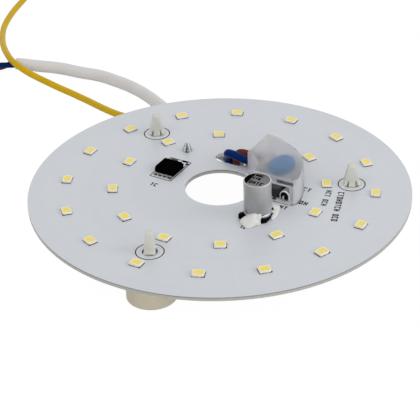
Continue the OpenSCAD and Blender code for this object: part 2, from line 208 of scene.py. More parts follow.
def rod(name: str, radius: float, low: float, high: float, sides: int) -> Obj:
    """Adds a cylinder on the Z axis.

    Args:
        name: The piece's name.
        radius: Its radius.
        low: The height of its lower end.
        high: The height of its upper end.
        sides: How many sides it has.

    Returns:
        The cylinder.
    """
    bpy.ops.mesh.primitive_cylinder_add(vertices=sides, radius=radius * MM, depth=(high - low) * MM,
                                        location=(0, 0, (low + high) / 2 * MM))
    return named(name)


def disc(name: str, radius: float, sides: int) -> Obj:
    """Adds a flat disc at the origin."""
    bpy.ops.mesh.primitive_circle_add(vertices=sides, radius=radius * MM, fill_type="NGON")
    return named(name)


def wire(name: str, route: Sequence[Point], width: float, rounds: int) -> Obj:
    """Draws a round wire through points.

    Args:
        name: The piece's name.
        route: Its centre line.
        width: Its diameter.
        rounds: How finely it is rounded.

    Returns:
        A curve of one open spline.
    """
    curve = bpy.data.curves.new(name, "CURVE")
    curve.dimensions, curve.use_fill_caps = "3D", True
    curve.bevel_depth, curve.bevel_resolution, curve.resolution_u = width / 2 * MM, rounds, CURVE_STEPS
    spline = curve.splines.new("BEZIER")
    spline.bezier_points.add(len(route) - 1)
    for knot, point in zip(spline.bezier_points, route):
        knot.co = [c * MM for c in point]
        knot.handle_left_type = knot.handle_right_type = "AUTO"
    return link(name, curve)


def mesh_of(obj: Obj) -> Obj:
    """Makes a curve a mesh.

    Args:
        obj: The curve's object.

    Returns:
        The mesh's object.
    """
    hold(obj)
    bpy.ops.object.convert(target="MESH")
    return bpy.context.active_object


@contextmanager
def editing(obj: Obj) -> Iterator[None]:
    """Opens an object in edit mode with all of it selected.

    Args:
        obj: The object.

    Yields:
        Nothing, while it is open.
    """
    hold(obj)
    bpy.ops.object.mode_set(mode="EDIT")
    bpy.ops.mesh.select_all(action="SELECT")
    yield
    bpy.ops.object.mode_set(mode="OBJECT")


def pick(obj: Obj, test: Test, kind: Pick = Pick.FACE) -> None:
    """Selects parts of the object in edit mode by their place and direction.

    Args:
        obj: The object in edit mode.
        test: Takes a part's centre and its normal, or an edge's direction.
        kind: Faces, edges or points.
    """
    bpy.ops.mesh.select_mode(type=kind.value)
    bpy.ops.mesh.select_all(action="DESELECT")
    mesh = bmesh.from_edit_mesh(obj.data)
    mesh.normal_update()
    if kind is Pick.FACE:
        for face in mesh.faces:
            face.select_set(test(face.calc_center_median() / MM, face.normal))
    elif kind is Pick.EDGE:
        for edge in mesh.edges:
            a, b = (vert.co for vert in edge.verts)
            edge.select_set(test((a + b) / 2 / MM, (b - a).normalized()))
    else:
        for vert in mesh.verts:
            vert.select_set(test(vert.co / MM, vert.normal))
    mesh.select_flush_mode()
    bmesh.update_edit_mesh(obj.data)


def top_faces(_: Vector, normal: Vector) -> bool:
    """Whether a face looks up."""
    return normal.z > UPRIGHT


def upright_edges(_: Vector, way: Vector) -> bool:
    """Whether an edge stands."""
    return abs(way.z) > UPRIGHT


def inset(width: float, depth: float = 0.0) -> None:
    """Insets the selected faces."""
    bpy.ops.mesh.inset(thickness=width * MM, depth=depth * MM)


def bevel(width: float, segments: int = 1) -> None:
    """Bevels the selected edges."""
    bpy.ops.mesh.bevel(offset=width * MM, segments=segments, affect="EDGES")


def scale(x: float, y: float, z: float, about: Sequence[float] = (0.0, 0.0, 0.0)) -> None:
    """Scales what is selected about a place."""
    bpy.ops.transform.resize(value=(x, y, z), center_override=[c * MM for c in about])


def modify(obj: Obj, kind: str, **settings: Any) -> None:
    """Adds a modifier, sets it and applies it.

    Args:
        obj: The object.
        kind: The modifier's type.
        **settings: Its settings.
    """
    hold(obj)
    modifier = obj.modifiers.new(kind.lower(), kind)
    for key, value in settings.items():
        setattr(modifier, key, value)
    bpy.ops.object.modifier_apply(modifier=modifier.name)


def soften(obj: Obj, width: float, segments: int = 2, sharp: float = 32.0) -> None:
    """Rounds an object's sharp edges with a bevel and smooths its shading.

    Args:
        obj: The object.
        width: The bevel's width, or 0 for none.
        segments: The bevel's segments.
        sharp: The angle past which an edge is sharp, in degrees.
    """
    if width > 0:
        modify(obj, "BEVEL", width=width * MM, segments=segments, limit_method="ANGLE",
               angle_limit=math.radians(sharp), harden_normals=False)
    hold(obj)
    bpy.ops.object.shade_smooth_by_angle(angle=math.radians(sharp))


def place(obj: Obj, matrix: Matrix) -> Obj:
    """Moves an object's mesh and leaves the object at the origin.

    Args:
        obj: The object.
        matrix: Where its mesh goes.

    Returns:
        The object.
    """
    obj.data.transform(matrix)
    obj.data.update()
    return obj


def again(obj: Obj, name: str, matrix: Matrix) -> Obj:
    """A copy of an object, with its own mesh, at another place."""
    return place(link(name, obj.data.copy()), matrix)


def join(name: str, pieces: Sequence[Obj]) -> Obj:
    """Joins objects into one.

    Args:
        name: The joined piece's name.
        pieces: The objects.

    Returns:
        The joined object.
    """
    hold(pieces[0])
    for piece in pieces:
        piece.select_set(True)
    bpy.ops.object.join()
    return named(name)


def copy_of(node: str, name: str) -> Obj:
    """Copies a solid's mesh and welds its loose triangles into one skin.

    Args:
        node: The solid's name.
        name: The copy's name.

    Returns:
        The copy.
    """
    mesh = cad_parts[node].data.copy()
    mesh.materials.clear()
    obj = link(name, mesh)
    with editing(obj):
        bpy.ops.mesh.customdata_custom_splitnormals_clear()
        bpy.ops.mesh.remove_doubles(threshold=WELD * MM)
        bpy.ops.mesh.dissolve_limited(angle_limit=math.radians(LEVEL))
    return obj


class Nodes:
    """A node tree and the steps that fill it."""

    def __init__(self, tree: bpy.types.NodeTree) -> None:
        """Takes the tree that is filled."""
        self.tree = tree

    def plug(self, socket: bpy.types.NodeSocket, value: Any) -> None:
        """Links a socket to another node's output, or sets it.

        Args:
            socket: The input socket.
            value: The output or the value.
        """
        if isinstance(value, bpy.types.NodeSocket):
            self.tree.links.new(value, socket)
        else:
            socket.default_value = value

    def node(self, kind: str, inputs: dict[Any, Any], **settings: Any) -> bpy.types.Node:
        """Adds a node.

        Args:
            kind: The node's type.
            inputs: What its sockets hold: values, or the outputs of other nodes.
            **settings: Its other settings.

        Returns:
            The node.
        """
        made = self.tree.nodes.new("ShaderNode" + kind)
        for key, value in settings.items():
            setattr(made, key, value)
        for key, value in inputs.items():
            self.plug(made.inputs[key], value)
        return made

    def math(self, operation: str, a: Any, b: Any = 0.0) -> Any:
        """One step of arithmetic on values or outputs."""
        return self.node("Math", {0: a, 1: b}, operation=operation).outputs[0]

    def span(self, value: Any, low: float, high: float, a: float = 0.0, b: float = 1.0) -> Any:
        """Maps low to high onto a to b, held at the ends."""
        return self.node("MapRange", {"Value": value, "From Min": low, "From Max": high,
                                      "To Min": a, "To Max": b}).outputs["Result"]


class Shader(Nodes):
    """A material's nodes around its one surface shader."""

    def __init__(self, name: str) -> None:
        """Makes the material.

        Args:
            name: The material's name.
        """
        self.material = bpy.data.materials.new(name)
        self.material.use_nodes = True
        super().__init__(self.material.node_tree)
        self.surface = self.tree.nodes["Principled BSDF"]
        self.where = self.node("TexCoord", {}).outputs["Object"]

    def feed(self, **values: Any) -> None:
        """Sets or links the surface shader's sockets, named with _ for a space."""
        for key, value in values.items():
            self.plug(self.surface.inputs[key.replace("_", " ")], value)

    def noise(self, size: float, detail: Detail, where: Any = None) -> Any:
        """Noise about 0.5 with features of a size, on the object's own or other coordinates."""
        return self.node("TexNoise", {"Vector": where or self.where, "Scale": 1 / (size * MM),
                                      "Detail": detail}).outputs["Fac"]

    def ramp(self, value: Any, low: tuple[float, Colour], high: tuple[float, Colour]) -> Any:
        """Turns a value into a colour.

        Args:
            value: The value, from 0 to 1.
            low: The first place and its colour.
            high: The second place and its colour.

        Returns:
            The colour's output.
        """
        made = self.node("ValToRGB", {"Fac": value})
        for element, (at, colour) in zip(made.color_ramp.elements, (low, high)):
            element.position, element.color = at, (*colour, 1.0)
        return made.outputs["Color"]

    def tone(self, value: Any, colour: Colour, depth: float) -> Any:
        """A colour that a noise makes darker and lighter by a share."""
        return self.ramp(value, (NOISE_LOW, lift(colour, 1 - depth)), (NOISE_HIGH, lift(colour, 1 + depth)))

    def blend(self, factor: Any, a: Any, b: Any) -> Any:
        """Mixes two colours or colour outputs by a factor."""
        ends = [end if isinstance(end, bpy.types.NodeSocket) else (*end, 1.0) for end in (a, b)]
        return self.node("Mix", {0: factor, MIX_A: ends[0], MIX_B: ends[1]}, data_type="RGBA").outputs[MIXED]

    def both(self, a: Any, b: Any) -> Any:
        """The product of two values: 1 where both are 1."""
        return self.math("MULTIPLY", a, b)

    def local(self, x: float = 0.0, y: float = 0.0, turn: float = LEAN) -> Any:
        """The object's coordinates, in metres, seen from a place on it that is turned by degrees."""
        own = {"Vector": self.where, "Location": (x * MM, y * MM, 0), "Rotation": (0, 0, math.radians(turn))}
        return self.node("Mapping", own, vector_type="TEXTURE").outputs["Vector"]

    def split(self, vector: Any) -> tuple[Any, Any, Any]:
        """The three parts of a vector."""
        return tuple(self.node("SeparateXYZ", {"Vector": vector}).outputs)

    def reach(self, vector: Any) -> Any:
        """The distance from the Z axis of a place."""
        flat = self.node("VectorMath", {0: vector, 1: (1, 1, 0)}, operation="MULTIPLY").outputs[0]
        return self.node("VectorMath", {0: flat}, operation="LENGTH").outputs["Value"]

    def near(self, value: Any, middle: float, half: float) -> Any:
        """One where a length in metres is less than a half from the middle."""
        away = self.math("ABSOLUTE", self.math("SUBTRACT", value, middle * MM))
        return self.math("LESS_THAN", away, half * MM)

    def within(self, value: Any, low: float, high: float, soft: float = 0.2) -> Any:
        """One where a length in metres lies between two limits, with soft ends."""
        return self.both(self.span(value, low * MM, (low + soft) * MM),
                         self.span(value, (high - soft) * MM, high * MM, 1.0, 0.0))


@dataclass(frozen=True)
class Finish:
    """A finish of one colour with fine variation in tone, gloss and relief.

    The grain, the relief's depth and the glow's spread are in millimetres. The depth and the rub are
    how far the tone and the roughness vary.
    """

    name: str
    slot: str
    colour: Colour
    roughness: float = 0.5
    metallic: float = 0.0
    grain: float = 0.6
    depth: float = 0.04
    rub: float = 0.06
    relief: float = 0.1
    relief_depth: float = 0.02
    specular: float = 0.5
    coat: float = 0.0
    through: float = 0.0
    glow: float = 0.0
    spread: float = 1.2
    tint: Point = (1.0, 0.8, 0.6)

    def material(self) -> bpy.types.Material:
        """The finish's material, made the first time it is asked for.

        Returns:
            The material.
        """
        found = bpy.data.materials.get("finish_" + self.name)
        if found is None:
            shader = Shader("finish_" + self.name)
            self.coat_on(shader)
            found = shader.material
        return found

    def coat_on(self, shader: Shader) -> None:
        """Builds the finish's nodes.

        Args:
            shader: The material's nodes.
        """
        fine = shader.noise(self.grain, Detail.SHARP)
        broad = shader.noise(self.grain * BROADER, Detail.SMOOTH)
        mixed = shader.math("ADD", shader.both(fine, 0.5), shader.both(broad, 0.5))
        self.lay(shader, shader.tone(mixed, self.colour, self.depth), fine)

    def rubbed(self, shader: Shader, noise: Any) -> Any:
        """The roughness, a little less and more where a noise is low and high."""
        ends = self.roughness - self.rub, self.roughness + self.rub
        return shader.span(noise, NOISE_LOW, NOISE_HIGH, *ends)

    def lay(self, shader: Shader, colour: Any, height: Any, roughness: Any = None) -> None:
        """Lays a colour on the surface, with its gloss, its relief and what is the same all over.

        Args:
            shader: The material's nodes.
            colour: The colour's output.
            height: The relief's output.
            roughness: The roughness, or None for one that follows the relief.
        """
        bump = shader.node("Bump", {"Height": height, "Strength": self.relief,
                                    "Distance": self.relief_depth * MM})
        rough = self.rubbed(shader, height) if roughness is None else roughness
        shader.feed(Base_Color=colour, Roughness=rough, Normal=bump.outputs["Normal"],
                    Metallic=self.metallic, Specular_IOR_Level=self.specular, Coat_Weight=self.coat,
                    Transmission_Weight=self.through, Subsurface_Weight=self.glow)
        if self.glow:
            shader.feed(Subsurface_Radius=self.tint, Subsurface_Scale=self.spread * MM)


@dataclass(frozen=True)
class BoardFinish(Finish):
    """The board: a white mask over copper on top, milled metal at its edges and below, and the slot's walls
    painted near white as painted light.
    """

    grain: float = 0.35
    cloud: float = 26.0
    edge: Colour = srgb(175, 175, 168)
    edge_depth: float = 0.1
    burr: Colour = srgb(132, 133, 135)
    below: Colour = srgb(176, 178, 181)
    below_depth: float = 0.06
    # Painted light: the slot's walls are near white and not metallic
    slot_painted_light: Colour = srgb(244, 242, 241)
    burr_z: Place = (BOARD_TOP - 0.42, BOARD_TOP - 0.26)
    skin_z: Place = (BOARD_LOW + 0.03, BOARD_TOP - 0.04)
    slot_at: Place = (-4.9, 16.5)
    slot_half: Place = (5.8, 3.0)
    ring_r: float = 4.1
    ring_lift: float = 1.07
    copper_lift: float = 1.035
    copper_shows: float = 0.35
    copper_gap: float = 0.3
    mask_share: float = 0.25
    cut_grain: float = 0.25
    cut_stretch: float = 0.05
    cut_roughness: float = 0.42
    cut_metallic: float = 0.3

    def coat_on(self, shader: Shader) -> None:
        """Builds the mask, the copper's faint relief under it and the bare metal.

        Args:
            shader: The material's nodes.
        """
        x, y, z = shader.split(shader.where)
        under = shader.math("LESS_THAN", z, self.skin_z[0] * MM)
        top = shader.math("GREATER_THAN", z, self.skin_z[1] * MM)
        copper = self.copper(shader, shader.math("ARCTAN2", y, x))
        mask = shader.blend(shader.both(copper, self.copper_shows),
                            shader.tone(shader.noise(self.cloud, Detail.SMOOTH), self.colour, self.depth),
                            lift(self.colour, self.copper_lift))
        for post_x, post_y, _ in around(POSTS, POSTS_R):
            away = shader.reach(shader.local(post_x, post_y, 0.0))
            mask = shader.blend(shader.math("LESS_THAN", away, self.ring_r * MM), mask,
                                lift(self.colour, self.ring_lift))
        drawn = shader.node("Mapping", {"Vector": shader.where, "Scale": (self.cut_stretch, 1.0, 1.0)})
        cut = shader.noise(self.cut_grain, Detail.SMOOTH, drawn.outputs["Vector"])
        wall = shader.blend(shader.span(z, self.burr_z[0] * MM, self.burr_z[1] * MM),
                            shader.tone(cut, self.edge, self.edge_depth), self.burr)
        # Painted light: inside the slot the walls are near white and not metallic, against the shade there
        u, v, _ = shader.split(shader.local(*spot(*self.slot_at, 0)[:2]))
        in_slot = shader.both(*(shader.near(c, 0.0, half) for c, half in zip((u, v), self.slot_half)))
        metal = shader.blend(under, shader.blend(in_slot, wall, self.slot_painted_light),
                             shader.tone(cut, self.below, self.below_depth))
        bare = shader.both(shader.math("SUBTRACT", 1.0, top), shader.math("SUBTRACT", 1.0, in_slot))
        grain = shader.noise(self.grain, Detail.FINE)
        height = shader.math("ADD", shader.both(grain, self.mask_share), copper)
        self.lay(shader, shader.blend(top, metal, mask), height,
                 shader.span(top, 0, 1, self.cut_roughness, self.roughness))
        shader.feed(Metallic=shader.both(bare, self.cut_metallic))

    def copper(self, shader: Shader, angle: Any) -> Any:
        """Where the copper lies under the mask: rings of pours with gaps between the LEDs.

        Args:
            shader: The material's nodes.
            angle: The output of the angle about the board's centre.

        Returns:
            The output that is 1 on copper and 0 in the gaps.
        """
        away = shader.reach(shader.where)
        land = 0.0
        for _, count, radius, start, half in (ring.value for ring in Ring):
            step = 2 * math.pi / count
            turned = shader.math("ADD", angle, 4 * math.pi - math.radians(start))
            part = shader.math("SUBTRACT", shader.math("MODULO", turned, step), step / 2)
            pour = shader.math("GREATER_THAN", shader.math("ABSOLUTE", part), self.copper_gap / radius)
            land = shader.math("ADD", shader.both(shader.near(away, radius, half), pour), land)
        return land


@dataclass(frozen=True)
class PhosphorFinish(Finish):
    """Cast resin over the LED chip: strong yellow in the middle, paler towards the rim."""

    grain: float = 0.18
    rim: Colour = srgb(239, 228, 168)
    rim_from: float = 0.84
    ragged: float = 0.12
    ragged_size: float = 0.25

    def coat_on(self, shader: Shader) -> None:
        """Builds the resin from the piece's own map.

        Args:
            shader: The material's nodes.
        """
        u, v, _ = shader.split(shader.node("UVMap", {}, uv_map="lens").outputs["UV"])
        away = shader.math("MAXIMUM", shader.math("ABSOLUTE", u), shader.math("ABSOLUTE", v))
        ragged = shader.noise(self.ragged_size, Detail.FINE)
        away = shader.math("ADD", away, shader.both(ragged, self.ragged))
        self.lay(shader, shader.ramp(away, (self.rim_from, self.colour), (1.0, self.rim)),
                 shader.noise(self.grain, Detail.SMOOTH), self.roughness)


@dataclass(frozen=True)
class CanFinish(Finish):
    """A drawn aluminium can: fine upright lines on its side, a painted highlight that lightens the side
    towards its edges away from the front, and a grey lacquered top.
    """

    grain: float = 0.16
    stretch: float = 0.04
    cloud: float = 3.2
    cloud_span: Place = (0.35, 0.65)
    cloud_lift: float = 1.1
    lid: Colour = srgb(100, 100, 101)
    lid_grain: float = 0.3
    lid_depth: float = 0.1
    lid_metallic: float = 0.1
    lid_z: float = BOARD_TOP + CAN_TOP - LID_SUNK - 0.2
    rim_r: float = 3.8
    # Painted highlight: how strongly the side is lightened away from the front, how much of it leans to one
    # side, and how much lighter it gets
    painted_sheen: float = 0.75
    painted_sheen_side: float = 0.3
    painted_sheen_lift: float = 1.75

    def coat_on(self, shader: Shader) -> None:
        """Builds the side and the top.

        Args:
            shader: The material's nodes.
        """
        own = shader.local(*CAN_AT)
        x, y, z = shader.split(own)
        angle = shader.math("ARCTAN2", y, x)
        girth, rise = shader.both(angle, CAN_R * MM), shader.both(z, self.stretch)
        lines = shader.node("CombineXYZ", {0: girth, 2: rise})
        drawn = shader.noise(self.grain, Detail.FINE, lines.outputs[0])
        on_lid = shader.both(shader.math("LESS_THAN", shader.reach(own), self.rim_r * MM),
                             shader.math("GREATER_THAN", z, self.lid_z * MM))
        side = shader.blend(shader.span(shader.noise(self.cloud, Detail.SMOOTH), *self.cloud_span),
                            shader.tone(drawn, self.colour, self.depth),
                            shader.tone(drawn, lift(self.colour, self.cloud_lift), self.depth))
        # Painted highlight: the side is lightened towards its edges, away from the front
        turned = shader.math("ADD", angle, math.radians(90 + LEAN))
        painted_sheen = shader.math("ADD", shader.both(shader.math("COSINE", turned), -self.painted_sheen),
                            shader.both(shader.math("SINE", turned), self.painted_sheen_side * self.painted_sheen))
        side = shader.blend(shader.math("ADD", painted_sheen, self.painted_sheen), side, lift(self.colour, self.painted_sheen_lift))
        lid = shader.tone(shader.noise(self.lid_grain, Detail.SHARP), self.lid, self.lid_depth)
        self.lay(shader, shader.blend(on_lid, side, lid), drawn)
        shader.feed(Metallic=shader.span(on_lid, 0, 1, self.metallic, self.lid_metallic))


@dataclass(frozen=True)
class FrostFinish(Finish):
    """Frosted moulding that blurs what is under it: clearer on top, with painted shade in the recess over
    its window and, more faintly, on the jamb beside it.
    """

    grain: float = 0.22
    cloud: float = 5.0
    bend: float = 1.07
    coat_roughness: float = 0.22
    wall_through: float = 0.66
    ceiling: float = BOARD_TOP + 7.6
    fade: Place = (0.6, 0.1)
    shoulder: float = 0.88
    # Painted shade: a deep grey laid in the recess over the window and, more faintly, on the jamb
    painted_shade: Colour = srgb(112, 113, 116)
    recess_u: Place = (18.9, 24.7)
    recess_z: Place = (BOARD_TOP + 6.2, BOARD_TOP + 7.6)
    jamb: float = 1.0
    jamb_shade_share: float = 0.22
    jamb_z: float = BOARD_TOP + 0.9
    front: float = 1.3

    def coat_on(self, shader: Shader) -> None:
        """Builds the frosted plastic.

        Args:
            shader: The material's nodes.
        """
        u, v, height = shader.split(shader.local())
        (left, right), (low, high) = self.recess_u, self.recess_z
        recess = shader.both(shader.within(u, left, right), shader.within(height, low, high))
        jamb = shader.both(shader.within(u, right - self.jamb, right),
                           shader.within(height, self.jamb_z, high))
        # Painted shade: the recess and the jamb on the front wall are greyed
        shade = shader.both(shader.math("MAXIMUM", recess, shader.both(jamb, self.jamb_shade_share)),
                            shader.math("LESS_THAN", v, self.front * MM))
        plastic = shader.tone(shader.noise(self.cloud, Detail.SMOOTH), self.colour, self.depth)
        self.lay(shader, shader.blend(shade, plastic, self.painted_shade), shader.noise(self.grain, Detail.FINE))
        walls = shader.span(height, *((self.ceiling - below) * MM for below in self.fade), 1, 0)
        milky = shader.math("MAXIMUM", walls,
                            shader.within(height, self.ceiling, self.ceiling + self.shoulder))
        shader.feed(IOR=self.bend, Coat_Roughness=self.coat_roughness,
                    Transmission_Weight=shader.span(milky, 0, 1, self.through, self.wall_through))


@dataclass(frozen=True)
class PvcFinish(Finish):
    """Extruded insulation: a soft gloss, faint waves and handling marks, and bare past a place on u."""

    grain: float = 0.3
    cloud: float = 7.0
    smudge: float = 0.1
    smudge_size: float = 1.9
    smudge_span: Place = (0.62, 0.75)
    smudge_lift: float = 0.45
    bare: Colour = srgb(168, 168, 166)
    bare_u: float = 1000.0

    def coat_on(self, shader: Shader) -> None:
        """Builds the insulation.

        Args:
            shader: The material's nodes.
        """
        wave = shader.noise(self.cloud, Detail.SMOOTH)
        spots = shader.span(shader.noise(self.smudge_size, Detail.CRISP), *self.smudge_span)
        skin = shader.blend(shader.both(spots, self.smudge), shader.tone(wave, self.colour, self.depth),
                            lift(self.colour, self.smudge_lift))
        past = shader.math("GREATER_THAN", shader.split(shader.local())[0], self.bare_u * MM)
        self.lay(shader, shader.blend(past, skin, self.bare), shader.noise(self.grain, Detail.FINE),
                 self.rubbed(shader, wave))


@dataclass(frozen=True)
class NylonFinish(Finish):
    """Natural nylon: creamy in the thick feet, lighter in the board's hole and at the posts' base as painted
    light, greyer higher up the posts.
    """

    cloud: float = 6.0
    # Painted light: a lighter colour in the board's hole and at the posts' base, against the shade there
    painted_light: Colour = srgb(222, 219, 206)
    painted_light_z: Place = (BOARD_TOP - 1.3, BOARD_TOP - 0.8)
    post: Colour = srgb(201, 203, 197)
    post_z: Place = (BOARD_TOP + 0.3, BOARD_TOP + 2.2)
    post_glow: float = 0.35

    def coat_on(self, shader: Shader) -> None:
        """Builds the nylon.

        Args:
            shader: The material's nodes.
        """
        broad, height = shader.noise(self.cloud, Detail.SMOOTH), shader.split(shader.where)[2]
        low, high = (shader.span(height, a * MM, b * MM) for a, b in (self.painted_light_z, self.post_z))
        # Painted light in the hole and at the posts' base
        foot = shader.blend(low, shader.tone(broad, self.colour, self.depth), self.painted_light)
        self.lay(shader, shader.blend(high, foot, shader.tone(broad, self.post, self.depth)),
                 shader.noise(self.grain, Detail.FINE))
        shader.feed(Subsurface_Weight=shader.span(high, 0, 1, self.glow, self.post_glow))


@dataclass(frozen=True)
class PartedFinish(Finish):
    """A finish that has a second colour, used as painted shade, past a place on v, and may have it before a
    place too.
    """

    # Painted shade: the second colour; this grey is the fuse clip's body behind its white front rim
    other: Colour = srgb(116, 118, 115)
    at: Place = (0.0, 0.0)
    past: float = 2.75
    before: float = -FAR
    blur: float = 0.3
    cloud: float = 3.0
    layers: Detail = Detail.FINE

    def coat_on(self, shader: Shader) -> None:
        """Builds the two colours.

        Args:
            shader: The material's nodes.
        """
        broad, along = shader.noise(self.cloud, Detail.SMOOTH), shader.split(shader.local(*self.at))[1]
        outside = shader.math("MAXIMUM", shader.math("GREATER_THAN", along, self.past * MM),
                              shader.span(along, self.before * MM, (self.before + self.blur) * MM, 1, 0))
        colours = [shader.tone(broad, colour, self.depth) for colour in (self.colour, self.other)]
        self.lay(shader, shader.blend(outside, *colours), shader.noise(self.grain, self.layers))


@dataclass(frozen=True)
class FluteFinish(Finish):
    """Plated steel with upright stripes of painted shade that stand for flutes."""

    flutes: float = 4.0
    # Painted shade: the grey of the flutes' stripes
    painted_shade: Colour = srgb(88, 90, 93)
    ragged: float = 0.8
    flank: Place = (-0.2, 0.7)

    def coat_on(self, shader: Shader) -> None:
        """Builds the plating.

        Args:
            shader: The material's nodes.
        """
        x, y, _ = shader.split(shader.local(*SCREW_AT, 0.0))
        fine = shader.noise(self.grain, Detail.FINE)
        turn = shader.both(shader.math("ARCTAN2", y, x), self.flutes)
        wave = shader.math("ADD", shader.math("COSINE", turn),
                           shader.span(fine, NOISE_LOW, NOISE_HIGH, -self.ragged, self.ragged))
        # Painted shade: stripes along the flutes, which are not modelled
        self.lay(shader, shader.blend(shader.span(wave, *self.flank), self.colour, self.painted_shade), fine)


MASK = BoardFinish("white_mask", "board", srgb(202, 205, 210), roughness=0.36, depth=0.012, relief=0.35,
                   relief_depth=0.03, specular=0.3)
PRINT = Finish("black_print", "board", srgb(9, 9, 10), roughness=0.8, grain=0.12, depth=0.2, specular=0.0)
LED_WHITE = Finish("led_white", "led_housing", srgb(236, 232, 222), depth=0.02, grain=0.2, specular=0.3)
PHOSPHOR = PhosphorFinish("phosphor_resin", "phosphor", srgb(239, 217, 105), roughness=0.35, relief=0.15,
                          specular=0.2)
# Painted shade: the pads that peek out around each LED are near black, a shade line at its foot
LED_PAD_SHADE = Finish("solder_in_painted_shade", "tinned_metal", srgb(44, 44, 46), roughness=0.6, metallic=0.2, grain=0.2,
                 depth=0.3, relief=0.3, specular=0.2)
TIN = Finish("bright_tin", "tinned_metal", srgb(190, 188, 182), roughness=0.3, metallic=0.9, grain=0.35,
             depth=0.1, relief=0.25)
# Pale pins, with painted shade over the frame's back half and past the ends of its front leads
PIN = PartedFinish("dull_pins", "tinned_metal", srgb(176, 167, 154), metallic=0.2, grain=0.3, depth=0.2,
                   relief=0.25, specular=0.2, other=srgb(52, 54, 50), at=CHIP_AT, past=0.0, before=-4.1,
                   cloud=1.2, layers=Detail.SHARP)
DARK_PIN = Finish("dark_pins", "tinned_metal", srgb(58, 57, 56), roughness=0.45, metallic=0.5, grain=0.3,
                  depth=0.25, relief=0.2, specular=0.2)
CAN = CanFinish("drawn_can", "can", srgb(163, 164, 165), roughness=0.34, metallic=0.8, depth=0.05, rub=0.05,
                relief=0.2, specular=0.2)
BLACK = Finish("black_moulding", "black_moulding", srgb(9, 9, 10), grain=0.18, depth=0.2, relief=0.3,
               specular=0.02)
CHIP = Finish("chip_black", "black_moulding", srgb(5, 5, 6), roughness=0.6, grain=0.14, depth=0.2,
              relief=0.2, specular=0.0)
CASE = Finish("rectifier_grey", "black_moulding", srgb(38, 39, 42), roughness=0.36, grain=0.14, depth=0.2,
              relief=0.2, specular=0.3)
SEALANT = Finish("silicone", "sealant", srgb(215, 216, 212), roughness=0.42, grain=1.4, depth=0.03,
                 relief=0.35, relief_depth=0.15, glow=0.15, specular=0.3)
FROST = FrostFinish("frosted_cover", "cover", srgb(236, 236, 238), roughness=0.56, depth=0.02,
                    through=0.96, coat=0.3)
VARISTOR = Finish("blue_coat", "varistor_coat", srgb(0, 97, 146), roughness=0.45, grain=0.8, depth=0.1,
                  relief=0.3, specular=0.05)
SLEEVE = Finish("black_sleeve", "black_sleeve", srgb(10, 10, 11), roughness=0.45, grain=0.3, depth=0.2,
                specular=0.05)
# The clip's white front rim, with painted shade on its body behind it
COLLAR = PartedFinish("white_collar", "led_housing", srgb(226, 226, 222), roughness=0.4, depth=0.03,
                      grain=0.3)
NYLON = NylonFinish("natural_nylon", "nylon", srgb(227, 219, 198), roughness=0.46, grain=0.5, depth=0.02,
                    relief=0.12, glow=1.0, spread=2.2, specular=0.15)
MAGNET = Finish("nickel_plate", "magnet", srgb(180, 180, 184), roughness=0.22, metallic=1.0, grain=0.5)
STEEL = FluteFinish("plated_steel", "screw_steel", srgb(192, 194, 197), roughness=0.24, metallic=0.9,
                    grain=0.4, relief=0.4)
BLUE = PvcFinish("blue_pvc", "blue_pvc", srgb(2, 36, 97), roughness=0.34, depth=0.2, specular=0.04,
                 bare_u=5.2)
BROWN = PvcFinish("brown_pvc", "brown_pvc", srgb(98, 42, 24), roughness=0.4, depth=0.12, specular=0.06,
                  bare_u=5.2)
WHITE = PvcFinish("white_pvc", "white_pvc", srgb(215, 213, 212), roughness=0.45, depth=0.02, smudge=0.12,
                  specular=0.2)
YELLOW = PvcFinish("yellow_pvc", "yellow_pvc", srgb(205, 166, 4), roughness=0.42, depth=0.07, smudge=0.28,
                   specular=0.1)
COPPER = Finish("bare_copper", "tinned_metal", srgb(196, 128, 84), roughness=0.3, metallic=1.0, grain=0.2,
                depth=0.15)


def coat(obj: Obj, finish: Finish) -> None:
    """Gives an object its finish.

    Args:
        obj: The object.
        finish: The finish.
    """
    obj.data.materials.clear()
    obj.data.materials.append(finish.material())
    LOG.info("%s in %s", obj.name, finish.name)


def dress(piece: Obj, finish: Finish, *nodes: str) -> Obj:
    """Gives a new piece its finish and sets it on the module.

    Args:
        piece: The piece.
        finish: Its finish.
        *nodes: The solids that it stands for.

    Returns:
        The piece.
    """
    coat(piece, finish)
    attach(piece, ROOT)
    if nodes:
        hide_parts(*nodes)
    return piece


def rounded(node: str, name: str, finish: Finish, width: float, segments: int = 2,
            sharp: float = 32.0) -> None:
    """Stands a copy with rounded edges in for a solid.

    Args:
        node: The solid's name.
        name: The piece's name.
        finish: Its finish.
        width: The width of its edges' rounding.
        segments: The segments of the rounding.
        sharp: The angle past which an edge is rounded, in degrees.
    """
    piece = copy_of(node, name)
    soften(piece, width, segments, sharp)
    dress(piece, finish, node)


